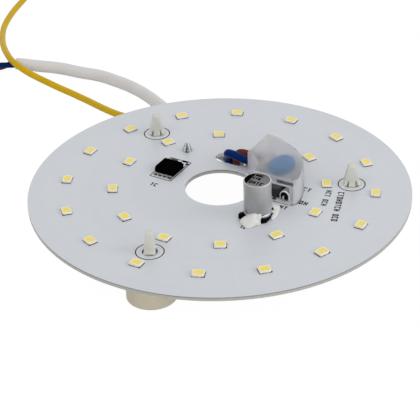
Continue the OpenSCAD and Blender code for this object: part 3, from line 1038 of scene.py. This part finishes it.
@dataclass
class Studio:
    """The camera, the soft light and the pale floor, in metres."""

    eye: Point = (0.0030843, -0.3926977, 0.2505888)
    aim: Point = (59.0523970, 1.3321319, -0.3486448)
    lens: float = 129.507
    sensor: float = 36.0
    clip: float = 0.01
    shift: Place = (-0.0228281, -0.0544689)
    sky: float = 0.585
    target: Point = (0.0, 0.0, 0.015)
    # Each lamp's name, place, size and power in watts
    lamps: tuple[tuple[str, Point, float, float], ...] = (
        ("key_softbox", (-0.55, -0.35, 0.85), 0.7, 2.3), ("front_softbox", (0.45, -0.9, 0.28), 0.6, 1.8),
        ("side_softbox", (0.85, -0.25, 0.42), 0.6, 2.9), ("back_softbox", (0.0, 0.9, 0.7), 0.8, 0.9))
    floor_size: float = 6.0
    floor_z: float = -0.0002
    bounce: float = 0.8
    shade: float = 0.07
    white: float = 0.965

    def build(self) -> None:
        """Sets up the camera, the lamps, the sky and the floor."""
        scene = bpy.context.scene
        scene.view_settings.view_transform = "Standard"
        data = bpy.data.cameras.new("studio_camera")
        data.lens, data.sensor_width, data.clip_start = self.lens, self.sensor, self.clip
        data.shift_x, data.shift_y = self.shift
        scene.camera = link("studio_camera", data)
        scene.camera.location = self.eye
        scene.camera.rotation_euler = Euler([math.radians(a) for a in self.aim], "XYZ")
        for name, at, size, power in self.lamps:
            light = bpy.data.lights.new(name, "AREA")
            light.shape, light.size, light.energy = "SQUARE", size, power
            lamp = link(name, light)
            lamp.location = at
            lamp.rotation_euler = (Vector(self.target) - Vector(at)).to_track_quat("-Z", "Y").to_euler()
        self.heaven(scene)
        self.floor()

    def seen(self, nodes: Nodes) -> Any:
        """What looks straight at the backdrop: the camera, mirrors and clear parts.

        Args:
            nodes: The backdrop's nodes.

        Returns:
            An output that is 1 for such a ray.
        """
        path = nodes.node("LightPath", {}).outputs
        clear = nodes.math("MAXIMUM", path["Is Camera Ray"], path["Is Glossy Ray"])
        return nodes.math("MAXIMUM", clear, path["Is Transmission Ray"])

    def heaven(self, scene: bpy.types.Scene) -> None:
        """Makes the white sky.

        Args:
            scene: The scene.
        """
        scene.world = bpy.data.worlds.new("studio_sky")
        scene.world.use_nodes = True
        nodes = Nodes(scene.world.node_tree)
        sky = nodes.tree.nodes["Background"].inputs
        nodes.plug(sky["Color"], (1, 1, 1, 1))
        nodes.plug(sky["Strength"], nodes.span(self.seen(nodes), 0.0, 1.0, self.sky, 1.0))

    def floor(self) -> None:
        """Lays the white floor, which keeps the module's soft shadow."""
        bpy.ops.mesh.primitive_plane_add(size=self.floor_size, location=(0, 0, self.floor_z))
        floor = named("studio_floor")
        material = bpy.data.materials.new("studio_floor")
        material.use_nodes = True
        nodes = Nodes(material.node_tree)
        nodes.tree.nodes.remove(nodes.tree.nodes["Principled BSDF"])
        kinds = (("BsdfDiffuse", self.bounce), ("BsdfDiffuse", self.shade), ("Emission", self.white))
        bounce, shade, white = (nodes.node(kind, {"Color": (grey, grey, grey, 1)}).outputs[0]
                                for kind, grey in kinds)
        backdrop = nodes.node("AddShader", {0: shade, 1: white}).outputs[0]
        mixed = nodes.node("MixShader", {0: self.seen(nodes), 1: bounce, 2: backdrop}).outputs[0]
        nodes.plug(nodes.tree.nodes["Material Output"].inputs["Surface"], mixed)
        floor.data.materials.append(material)


@dataclass
class Leads:
    """The mains cable with its two cores, their tails, and the earth wire."""

    core_d: float = 2.1
    earth_d: float = 2.35
    lead_d: float = 2.6
    sheath_d: float = 4.4
    rounds: int = 8
    # Where the cores leave the sheath: beside its middle, past its end, and their share of their width
    beside: float = 1.1
    start: Place = (0.0, 3.0)
    shares: Point = (0.8, 0.8, 0.92)
    strip: float = 6.0
    lap: float = 0.6
    strands_n: int = 7
    strand_d: float = 0.42
    strand_rounds: int = 2
    strand_steps: int = 9
    strand_twist: float = 40.0
    sheath: Route = (
        (3, 28.6, 9.2), (-1.6, 35, 8.6), (-6.4, 43, 7.9), (-10.6, 51.4, 7), (-14.4, 60, 6),
        (-18, 68.4, 5.1), (-21.8, 76.63, 4.3), (-26.4, 84.77, 3.6), (-31.6, 91.75, 3.1),
        (-37.4, 97.55, 2.7), (-43.4, 102.45, 2.4), (-50.8, 106.05, 2.2), (-58.7, 109.85, 2.2),
        (-67, 112.25, 2.2), (-75.2, 114.7, 2.2))
    neutral: Route = tuple(spot(*at) for at in (
        (-8.6, 21.7, 10.2), (-7.4, 19.1, 11.4), (-6.95, 17.95, 12.9), (-6.8, 17.7, 14.4),
        (-6.65, 17.2, 15.8), (-6.1, 16.2, 17.2), (-4.4, 15.4, 17.8), (-1.6, 14.85, 17.75),
        (1.5, 14.4, 17.6), (4.4, 14.35, 17.4), (6.8, 14.5, 17.1), (8.8, 14.6, 16.7)))
    live: Route = tuple(spot(*at) for at in (
        (-6.2, 23.7, 9.9), (-4.7, 20.8, 10.7), (-4.15, 18.7, 11.9), (-3.95, 17.85, 13.3),
        (-3.85, 17.75, 14.7), (-3.75, 17.75, 15.9), (-3.1, 17.75, 17.1), (-1.5, 17.65, 17.7),
        (0.7, 17.5, 17.7), (3.6, 17.4, 17.6), (6.4, 17.4, 17.1), (8.3, 17.4, 16.7)))
    neutral_tail: Route = (
        (-77.5, 113.4, 2.25), (-79.2, 113.15, 2.4), (-81.3, 112.7, 2.6), (-85, 111.8, 2.4),
        (-89.2, 110.5, 1.9), (-93.4, 108.9, 1.4), (-98, 107, 1.1), (-103, 105, 1.1), (-107.8, 103.2, 1.1))
    live_tail: Route = (
        (-77.5, 115.6, 1.7), (-79.2, 115.1, 1.35), (-81.3, 114.2, 1.1), (-85, 113.35, 1.1),
        (-89.2, 112.6, 1.1), (-93.6, 111.9, 1.1), (-98.4, 111.3, 1.1), (-103.4, 110.9, 1.1),
        (-108, 110.6, 1.1))
    earth: Route = (
        (-10.1, 32.1, 12.3), (-11.2, 37.8, 11.45), (-14.1, 43, 10.45), (-17.6, 47.8, 9.45),
        (-21.4, 52.3, 8.45), (-25.4, 56.7, 7.55), (-29.8, 61, 6.75), (-34.4, 65.4, 5.89),
        (-38.2, 69.9, 5.14), (-41.8, 74.6, 4.44), (-45.6, 79.3, 4), (-49.4, 83.6, 3.7),
        (-53.2, 87.6, 3.5), (-57.2, 91.5, 3.4), (-61.2, 95.3, 3.5), (-65.2, 99.1, 3.63),
        (-70.1, 104, 3.91), (-74.48, 109.2, 4.45), (-77.04, 113.4, 4.5), (-78.82, 118, 4.25),
        (-80.25, 122.6, 3.7), (-81.5, 127.4, 3.2), (-82.56, 132.6, 2.5), (-83.38, 138.2, 2),
        (-83.92, 143.8, 1.5), (-84.1, 149.6, 1.2), (-83.6, 155.4, 1.2), (-82.7, 161.2, 1.2),
        (-81.5, 167, 1.2), (-80, 172.6, 1.2), (-78.5, 178.2, 1.2), (-76.8, 183.6, 1.2), (-74.8, 189, 1.2))

    def build(self) -> None:
        """Draws the cords first, then the cores on the board."""
        self.cord("sheath", "cable_sheath", self.sheath, self.sheath_d, WHITE, Stiffness.STIFF)
        for name, side, route, finish in (("neutral_tail", 1, self.neutral_tail, BLUE),
                                          ("live_tail", -1, self.live_tail, BROWN)):
            whole = (self.core(self.sheath[-1], self.sheath[-2], side, 0.0), *route)
            self.cord(name + "_wire", name, whole, self.core_d, finish, Stiffness.MEDIUM)
        self.cord("earth_lead", "earth_wire", self.earth, self.earth_d, YELLOW, Stiffness.MEDIUM)
        for name, side, route, finish in (("neutral_lead", -1, self.neutral, BLUE),
                                          ("live_lead", 1, self.live, BROWN)):
            first = (self.core(self.sheath[0], self.sheath[1], side, along) for along in self.start)
            line = wire(name + "_wire", (*first, *route), self.lead_d, self.rounds)
            for knot, share in zip(line.data.splines[0].bezier_points, self.shares):
                knot.radius = share
            dress(mesh_of(line), finish, name)

    def core(self, end: Point, before: Point, side: int, along: float) -> Point:
        """A point on one core where it leaves the sheath.

        Args:
            end: The middle of the sheath's end.
            before: The next point inside the sheath.
            side: -1 or 1 for the two cores.
            along: How far outside the sheath the point is.

        Returns:
            The point.
        """
        out = (Vector(end) - Vector(before)).normalized()
        across = Vector((0, 0, 1)).cross(out).normalized()
        return tuple(Vector(end) + side * self.beside * across + along * out)

    def cord(self, name: str, node: str, route: Sequence[Point], width: float, finish: Finish,
             stiffness: Stiffness) -> None:
        """Lays one free cord. The limper ones show bare strands at their free end.

        Args:
            name: The piece's name.
            node: The solid that it stands for.
            route: Its centre line.
            width: Its diameter.
            finish: Its insulation.
            stiffness: How far it gives.
        """
        piece = dress(wire(name, route, width, self.rounds), finish, node)
        stripped = stiffness is Stiffness.MEDIUM
        ends = [self.strands(name + "_strands", route[-2], route[-1])] if stripped else []

    def strands(self, name: str, before: Point, end: Point) -> Obj:
        """Twists six bare strands around a seventh at a stripped end.

        Args:
            name: The piece's name.
            before: The route's last point but one.
            end: The route's last point.

        Returns:
            The strands as one piece.
        """
        out = (Vector(end) - Vector(before)).normalized()
        side = Vector((0, 0, 1)).cross(out).normalized()
        up = out.cross(side)
        pieces = []
        for strand in range(self.strands_n):
            reach = self.strand_d if strand else 0.0
            route = []
            for step in range(self.strand_steps + 1):
                along = -self.lap + (self.strip + self.lap) * step / self.strand_steps
                turn = math.radians(360 / (self.strands_n - 1) * strand + self.strand_twist * step)
                away = (side * math.cos(turn) + up * math.sin(turn)) * reach
                route.append(Vector(end) + out * along + away)
            pieces.append(mesh_of(wire(f"{name}_{strand}", route, self.strand_d, self.strand_rounds)))
        return dress(join(name, pieces), COPPER)


@dataclass
class Strokes:
    """Plain printed strokes in the size of lettering, which spell nothing."""

    tall: float
    pen: float
    step: float = 0.78
    corner: float = 0.2
    # Groups of strokes: each one's place across and up, width and height, as shares of the height
    kinds: tuple[tuple[tuple[float, float, float, float], ...], ...] = (
        ((0.12, 0.5, 0.0, 1.0), (0.5, 0.5, 0.0, 1.0), (0.3, 0.5, 0.4, 0.0)),
        ((0.12, 0.5, 0.0, 1.0), (0.35, 0.08, 0.5, 0.0), (0.35, 0.92, 0.5, 0.0)),
        ((0.12, 0.5, 0.0, 1.0), (0.5, 0.5, 0.0, 1.0), (0.3, 0.08, 0.4, 0.0), (0.3, 0.92, 0.4, 0.0)),
        ((0.3, 0.5, 0.0, 1.0), (0.3, 0.92, 0.5, 0.0)))

    def bar(self, x: float, y: float, wide: float, tall: float, at: Matrix) -> Obj:
        """Prints one flat bar.

        Args:
            x: The x of its middle.
            y: The y of its middle.
            wide: Its width, or 0 for the pen's.
            tall: Its height, or 0 for the pen's.
            at: Where its x and y lie.

        Returns:
            The flat bar.
        """
        bpy.ops.mesh.primitive_plane_add(size=1)
        bar = named("bar_mark")
        with editing(bar):
            scale((wide or self.pen) * MM, (tall or self.pen) * MM, 1)
            bpy.ops.mesh.bevel(offset=self.pen * self.corner * MM, segments=2, affect="VERTICES")
        return place(bar, at @ Matrix.Translation((x * MM, y * MM, 0)))

    def row(self, x: float, y: float, kinds: Sequence[int], at: Matrix) -> list[Obj]:
        """Prints a row of groups of strokes.

        Args:
            x: The x of its start.
            y: The y of its middle.
            kinds: The group at each place, or -1 for none.
            at: Where x and y lie.

        Returns:
            The flat bars.
        """
        made = []
        for index, kind in enumerate(kinds):
            for across, up, wide, tall in self.kinds[kind] if kind >= 0 else ():
                made.append(self.bar(x + (index * self.step + across) * self.tall,
                                     y + (up - 0.5) * self.tall, wide * self.tall, tall * self.tall, at))
        return made


@dataclass
class Board:
    """The round board's finish and the marks printed on it."""

    line: float = 0.3
    ring_r: float = 4.22
    print_t: float = 0.02
    bar_pen: float = 0.2
    box_pen: float = 0.27
    # The box's x, y, width and height, and how far its second line is back, moved and shorter
    chip_box: tuple[float, float, float, float] = (-15.1, 11.5, 7.4, 12.5)
    second_line: Point = (0.6, -0.4, 1.8)
    # Each bar's x, y, width and height
    bars: tuple[tuple[float, float, float, float], ...] = (
        (-10.6, 15.9, 2.0, 1.0), (-10.0, 14.3, 1.0, 0.9), (-11.4, 14.3, 0.7, 0.9),
        (18.85, -10.4, 6.2, 0.2), (16.2, -8.9, 1.0, 0.4))
    # Each row's x, y, turn, height, pen and groups of strokes
    words: tuple[tuple[float, float, float, float, float, tuple[int, ...]], ...] = (
        (36.6, -4.6, -102, 1.8, 0.38, (1, 3, 2, 0, 2, 3, 1, 0, -1, 2, 1, 2)),
        (33.1, -3.4, -106, 1.7, 0.33, (0, 1, 3, -1, 2, 1, 0)),
        (-21.0, 3.1, LEAN, 1.65, 0.36, (3, 1)), (25.2, -2.0, LEAN, 1.9, 0.4, (1, 3)),
        (23.7, -9.7, LEAN, 1.9, 0.4, (2, 0)), (17.7, -11.9, LEAN, 1.8, 0.4, (0, 3)),
        (5.9, -22.5, LEAN, 1.35, 0.34, (3, 1)))

    def build(self) -> None:
        """Coats the board and prints its marks."""
        coat(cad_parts["circuit_board"], MASK)
        marks = [*self.rings(), *self.box()]
        pen = Strokes(tall=1.0, pen=self.bar_pen)
        marks += [pen.bar(0, 0, wide, tall, seat(x, y)) for x, y, wide, tall in self.bars]
        for x, y, turn, tall, width, kinds in self.words:
            marks += Strokes(tall, width).row(0, 0, kinds, seat(x, y, turn))
        board_print = join("board_print", marks)
        modify(board_print, "SOLIDIFY", thickness=self.print_t * MM, offset=1.0)
        dress(board_print, PRINT)

    def rings(self) -> list[Obj]:
        """Prints one ring and repeats it around each snap post.

        Returns:
            The flat rings.
        """
        ring = disc("ring_mark", self.ring_r, sides=72)
        with editing(ring):
            inset(self.line)
            pick(ring, lambda c, n: c.length < self.line)
            bpy.ops.mesh.delete(type="FACE")
        made = [again(ring, f"ring_mark_{index}", seat(x, y, 0.0))
                for index, (x, y, _) in enumerate(around(POSTS, POSTS_R))]
        bpy.data.objects.remove(ring)
        return made

    def box(self) -> list[Obj]:
        """Prints the outline around the driver chip, with a second line on its right.

        Returns:
            Its flat lines.
        """
        x, y, wide, tall = self.chip_box
        back, down, less = self.second_line
        pen = Strokes(tall=1.0, pen=self.box_pen)
        return [pen.bar(du, dv, w, h, seat(x, y)) for du, dv, w, h in (
            (-wide / 2, 0, 0, tall), (wide / 2, 0, 0, tall), (0, -tall / 2, wide, 0), (0, tall / 2, wide, 0),
            (wide / 2 - back, down, 0, tall - less))]


@dataclass
class Leds:
    """The LED packages: a white housing with a cup, its resin and its terminals."""

    wide: float = 2.8
    long: float = 3.5
    low: float = 0.12
    high: float = 0.8
    wall: float = 0.25
    cup: float = 0.36
    mark: float = 0.45
    gap: float = 0.005
    resin_top: float = 0.76
    resin_corner: float = 0.32
    # The steps of the resin's dished top: width and depth
    dish: tuple[Place, ...] = ((0.2, -0.03), (0.35, -0.015))
    # How far the pads reach past the housing, showing a rim of painted shade
    pad_past: Place = (0.1, 0.2)
    pad_ends: Place = (0.3, 0.8)
    pad_taper: Place = (0.94, 0.96)

    def build(self) -> None:
        """Models one package and repeats it around both rings."""
        patterns = housing, resin, solder = self.housing(), self.resin(), self.solder()
        resins, solders = [], []
        for name, count, radius, start, _ in (ring.value for ring in Ring):
            for index, (x, y, angle) in enumerate(around(count, radius, start), 1):
                at, tag = seat(x, y, angle), f"{name}_{index:02d}"
                dress(again(housing, f"housing_{tag}", at), LED_WHITE, f"led_{tag}")
                resins.append(again(resin, f"resin_{tag}", at))
                solders.append(again(solder, f"solder_{tag}", at))
        for pattern in patterns:
            bpy.data.objects.remove(pattern)
        dress(join("led_resin", resins), PHOSPHOR, "led_phosphor")
        dress(join("led_solder", solders), LED_PAD_SHADE, "led_terminals")

    def housing(self) -> Obj:
        """Models the housing: a block with one cut corner, rounded edges and a cup.

        Returns:
            The pattern at the origin.
        """
        x, y = self.wide / 2, self.long / 2
        body = block("led_housing", (-x, -y, self.low), (x, y, self.high))
        with editing(body):
            pick(body, lambda c, d: upright_edges(c, d) and c.x > 0 and c.y > 0, Pick.EDGE)
            bevel(self.mark)
            pick(body, top_faces)
            inset(self.wall)
            bpy.ops.mesh.extrude_region_move(TRANSFORM_OT_translate={"value": (0, 0, -self.cup * MM)})
        soften(body, width=0.06)
        return body

    def resin(self) -> Obj:
        """Models the resin in the cup, with its own map from the middle to the rim.

        Returns:
            The pattern at the origin.
        """
        x, y = (side / 2 - self.wall - self.gap for side in (self.wide, self.long))
        body = block("led_resin_one", (-x, -y, self.high - self.cup), (x, y, self.resin_top))
        with editing(body):
            pick(body, upright_edges, Pick.EDGE)
            bevel(self.resin_corner)
            pick(body, top_faces)
            for width, depth in self.dish:
                inset(width, depth)
        layer = body.data.uv_layers.active or body.data.uv_layers.new()
        layer.name = "lens"
        for loop in body.data.loops:
            point = body.data.vertices[loop.vertex_index].co
            layer.data[loop.index].uv = (point.x / (x * MM), point.y / (y * MM))
        soften(body, width=0.0, sharp=40)
        return body

    def solder(self) -> Obj:
        """Models the two soldered terminals under a package.

        Returns:
            The pattern at the origin.
        """
        x, y = self.wide / 2 + self.pad_past[0], self.long / 2 + self.pad_past[1]
        pads = []
        for low, high in ((-y, self.pad_ends[0]), (self.pad_ends[1], y)):
            pad = block("led_pad", (-x, low, 0.0), (x, high, self.low))
            with editing(pad):
                pick(pad, top_faces)
                scale(*self.pad_taper, 1, (0, 0, self.low))
            soften(pad, width=0.04, segments=1)
            pads.append(pad)
        return join("led_solder_one", pads)


@dataclass(frozen=True)
class Push:
    """One push at the sealant: the points in a box are scaled about a place, moved and turned about it.

    Its places are seen from the middle of the can's foot, on the board.
    """

    low: Point
    high: Point
    about: Point = (0.0, 0.0, 0.0)
    size: Point = (1.0, 1.0, 1.0)
    move: Point = (0.0, 0.0, 0.0)
    turn: float = 0.0

    def give(self, piece: Obj, foot: Vector) -> None:
        """Pushes a piece that is open in edit mode.

        Args:
            piece: The piece.
            foot: The middle of the can's foot.
        """
        pick(piece, lambda c, n: all(a < p < b for a, p, b in zip(self.low, c - foot, self.high)), Pick.VERT)
        about = foot + Vector(self.about)
        scale(*self.size, about)
        bpy.ops.transform.translate(value=[c * MM for c in self.move])
        bpy.ops.transform.rotate(value=math.radians(self.turn), orient_axis="Z", center_override=about * MM)


@dataclass
class Capacitor:
    """The can on its moulded base, its print and the sealant around it."""

    low: float = 1.0
    crimp: float = 2.05
    crimp_half: float = 0.3
    crimp_waist: float = 0.955
    near: float = 0.05
    rim: float = 0.26
    rim_slope: float = 0.06
    roll: float = 0.2
    mark_gap: float = 0.34
    chord: float = -1.95
    pen: float = 0.38
    print_t: float = 0.015
    # Each row's u, v, height and groups of strokes
    rows: tuple[tuple[float, float, float, tuple[int, ...]], ...] = (
        (-1.6, 2.35, 1.15, (0, 2, 1)), (-1.7, 0.6, 1.1, (1, 3, 2)), (-1.75, -1.75, 1.5, (2, 0, 3, 1)))
    mound: tuple[Push, ...] = (
        Push((-FAR, -FAR, -FAR), (1.6, FAR, FAR), move=(0.3, 0, 0)),
        Push((-FAR, -FAR, 1.3), (2.0, FAR, FAR), (-2.3, -4.2, 1.3), (0.95, 1.2, 1.05), (0.75, 0.3, 0)),
        Push((-2.5, -FAR, -FAR), (2.0, -4.9, FAR), (0, -4.35, 0), (1.0, 0.85, 1.0)),
        Push((-0.9, -FAR, -FAR), (2.0, -4.2, FAR), (0, -3.75, 0), (1.0, 0.62, 1.0)),
        Push((0.1, -FAR, 0.8), (2.0, FAR, FAR), move=(0.15, 0, 0.8)))
    bead: tuple[Push, ...] = (
        Push((2.2, -FAR, -FAR), (FAR, FAR, FAR), (3.2, 5.6, 0), (0.9, 0.86, 1.0), (-0.1, 0.2, 0)),
        Push((1.9, -FAR, -FAR), (FAR, FAR, FAR), (4.2, 1.6, 0), turn=-14),
        Push((2.2, -0.8, 0.5), (5.6, FAR, FAR), move=(-0.9, -0.1, 0.5)))
    voxel: float = 0.16

    def build(self) -> None:
        """Models the can and its print, and rounds the base and the sealant."""
        dress(place(self.can(), seat(*CAN_AT)), CAN, "capacitor_can")
        dress(place(self.stamp(), seat(*CAN_AT)), PRINT)
        rounded("capacitor_base", "capacitor_foot", BLACK, width=0.12)
        rounded("capacitor_terminals", "capacitor_tags", TIN, width=0.05)
        self.sealant()

    def can(self) -> Obj:
        """Models the can: a rolled rim, a sunk lid and a crimp above the base.

        Returns:
            The can at the origin.
        """
        can = rod("capacitor_shell", CAN_R, self.low, CAN_TOP, sides=72)
        with editing(can):
            for level in (self.crimp - self.crimp_half, self.crimp, self.crimp + self.crimp_half):
                bpy.ops.mesh.select_all(action="SELECT")
                bpy.ops.mesh.bisect(plane_co=(0, 0, level * MM), plane_no=(0, 0, 1))
            pick(can, lambda c, n: abs(c.z - self.crimp) < self.near, Pick.VERT)
            scale(self.crimp_waist, self.crimp_waist, 1)
            pick(can, top_faces)
            inset(self.rim)
            inset(self.rim_slope, -LID_SUNK)
            pick(can, lambda c, d: not upright_edges(c, d) and c.xy.length > CAN_R - self.near and not (
                self.low + self.near <= c.z <= CAN_TOP - self.near), Pick.EDGE)
            bevel(self.roll, segments=3)
        soften(can, width=0.04, segments=1, sharp=25)
        return can

    def stamp(self) -> Obj:
        """Prints the lid's black polarity mark and plain strokes.

        Returns:
            The print at the origin.
        """
        lid = Matrix.Translation((0, 0, (CAN_TOP - LID_SUNK) * MM))
        mark = disc("polarity_mark", CAN_R - self.mark_gap, sides=64)
        with editing(mark):
            bpy.ops.mesh.bisect(plane_co=(self.chord * MM, 0, 0), plane_no=(1, 0, 0), clear_outer=True)
        pieces = [place(mark, lid)]
        for u, v, tall, kinds in self.rows:
            pieces += Strokes(tall, self.pen).row(u, v, kinds, lid)
        stamp = join("capacitor_print", pieces)
        modify(stamp, "SOLIDIFY", thickness=self.print_t * MM, offset=1.0)
        return stamp

    def sealant(self) -> None:
        """Makes the sealant one soft mound and one bead that wets the can."""
        piece = copy_of("adhesive", "sealant")
        with editing(piece):
            for push in (*self.mound, *self.bead):
                push.give(piece, Vector((*CAN_AT, BOARD_TOP)))
        modify(piece, "REMESH", mode="VOXEL", voxel_size=self.voxel * MM)
        modify(piece, "SMOOTH", factor=0.5, iterations=6)
        soften(piece, width=0.0, sharp=80)
        dress(piece, SEALANT, "adhesive")


@dataclass
class Driver:
    """The driver chip with its leads and the solder at its tab."""

    solder_low: Point = (-3.1, 4.4, 0.0)
    solder_high: Point = (-0.5, 6.5, 0.5)
    far_end: float = 5.0
    ridge: Place = (0.8, 0.85)
    narrowing: float = 0.86

    def build(self) -> None:
        """Rounds the moulded body and the stamped frame, and models the solder."""
        rounded("driver_body", "driver_case", CHIP, width=0.12, sharp=20)
        rounded("driver_frame", "driver_pins", PIN, width=0.05, segments=1)
        self.solder()

    def solder(self) -> None:
        """Models the solder that runs out behind the tab: a low slope with a rounded end."""
        (left, _, floor), (right, back, top) = self.solder_low, self.solder_high
        end = ((left + right) / 2, back, floor)
        slope = block("tab_solder", self.solder_low, self.solder_high)
        with editing(slope):
            pick(slope, lambda c, n: c.y > self.far_end and c.z > top / 2, Pick.VERT)
            scale(self.ridge[0], 1.0, self.ridge[1], end)
            pick(slope, lambda c, n: c.y > self.far_end, Pick.VERT)
            scale(self.narrowing, 1.0, 1.0, end)
        soften(slope, width=0.12, segments=3)
        dress(place(slope, seat(*CHIP_AT)), PIN)


@dataclass
class TerminalBox:
    """The frosted cover and the mains parts under it."""

    recess_v: float = 1.1
    fuse: Point = (20.9, 2.5, BOARD_TOP + 1.5)
    clip_r: float = 1.55
    clip_wall: float = 0.24
    clip_ends: Place = (-4.6, 0.25)
    leg: float = 1.4
    near: float = 0.02

    def build(self) -> None:
        """Rounds the cover and dresses what it hides."""
        self.cover()
        rounded("rectifier_body", "rectifier_case", CASE, width=0.1)
        rounded("rectifier_leads", "rectifier_pins", DARK_PIN, width=0.05, segments=1)
        rounded("varistor", "varistor_disc", VARISTOR, width=0.2, segments=3, sharp=20)
        rounded("varistor_leads", "varistor_pins", TIN, width=0.0)
        rounded("fuse", "fuse_sleeve", SLEEVE, width=0.15)
        rounded("fuse_leads", "fuse_pins", TIN, width=0.0)
        self.clip()
        rounded("resistor", "chip_resistor", BLACK, width=0.06)
        rounded("solder_joints", "solder_beads", TIN, width=0.0, sharp=60)

    def cover(self) -> None:
        """Sinks the shallow recess over the cover's window and rounds its edges."""
        piece = copy_of("terminal_cover", "frosted_cover")
        (left, right), (low, high) = FROST.recess_u, FROST.recess_z
        recess = block("recess", (left, 0.0, low), (right, self.recess_v, high))
        place(recess, seat(0, 0, z=0.0))
        modify(piece, "BOOLEAN", object=recess, operation="DIFFERENCE", solver="EXACT")
        bpy.data.objects.remove(recess)
        soften(piece, width=0.16, sharp=28)
        dress(piece, FROST, "terminal_cover")

    def clip(self) -> None:
        """Models the fuse's clip: an arch that stands on the board around the fuse, with rounded rims."""
        arch = rod("fuse_collar", self.clip_r, *self.clip_ends, sides=40)
        with editing(arch):
            pick(arch, lambda c, n: abs(n.z) > UPRIGHT)
            inset(self.clip_wall)
            bpy.ops.mesh.bridge_edge_loops()
            pick(arch, lambda c, n: c.y < -self.near)
            bpy.ops.mesh.delete(type="FACE")
            pick(arch, lambda c, d: abs(c.y) < self.near, Pick.EDGE)
            bpy.ops.mesh.extrude_edges_move(TRANSFORM_OT_translate={"value": (0, -self.leg * MM, 0)})
            bpy.ops.mesh.select_all(action="SELECT")
            bpy.ops.mesh.fill_holes(sides=0)
            bpy.ops.mesh.normals_make_consistent(inside=False)
        soften(arch, width=0.06)
        x, y, z = spot(*self.fuse)
        place(arch, seat(x, y, z=z) @ Matrix.Rotation(math.radians(90), 4, "X"))
        dress(arch, COLLAR)


@dataclass
class Feet:
    """The magnetic feet with their snap posts."""

    edge: float = 0.12

    def build(self) -> None:
        """Rounds each foot and plates its magnet."""
        for index in range(1, POSTS + 1):
            rounded(f"foot_{index}", f"snap_foot_{index}", NYLON, self.edge, sharp=28)
            coat(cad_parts[f"magnet_{index}"], MAGNET)


@dataclass
class EarthPoint:
    """The earth screw with its thread, and the ring terminal under the board."""

    turns: int = 5
    turn_steps: int = 14
    pitch: float = 0.5
    rise: float = 0.1
    wide: float = 1.42
    narrow: float = 0.62
    ridge: float = 0.3

    def build(self) -> None:
        """Dresses the screw and the ring terminal, and winds the screw's thread."""
        rounded("earth_screw", "earth_bolt", STEEL, width=0.08)
        rounded("ring_terminal", "earth_ring", TIN, width=0.1)
        route = []
        steps = self.turns * self.turn_steps
        for step in range(steps + 1):
            share = step / steps
            turn = 2 * math.pi * self.turns * share
            radius = self.wide + (self.narrow - self.wide) * share
            route.append((SCREW_AT[0] + radius * math.cos(turn), SCREW_AT[1] + radius * math.sin(turn),
                          BOARD_TOP + self.rise + self.turns * self.pitch * share))
        thread = mesh_of(wire("earth_thread", route, self.ridge, rounds=2))
        soften(thread, width=0.0, sharp=50)
        dress(thread, STEEL)


def main() -> None:
    """Builds the studio and the module, and logs each part as it is built."""
    logging.basicConfig(level=logging.INFO, format="%(message)s")
    for kind in (Studio, Leads, Board, Leds, Capacitor, Driver, TerminalBox, Feet, EarthPoint):
        kind().build()
        LOG.info("built %s", kind.__name__)


if __name__ == "__main__":
    main()
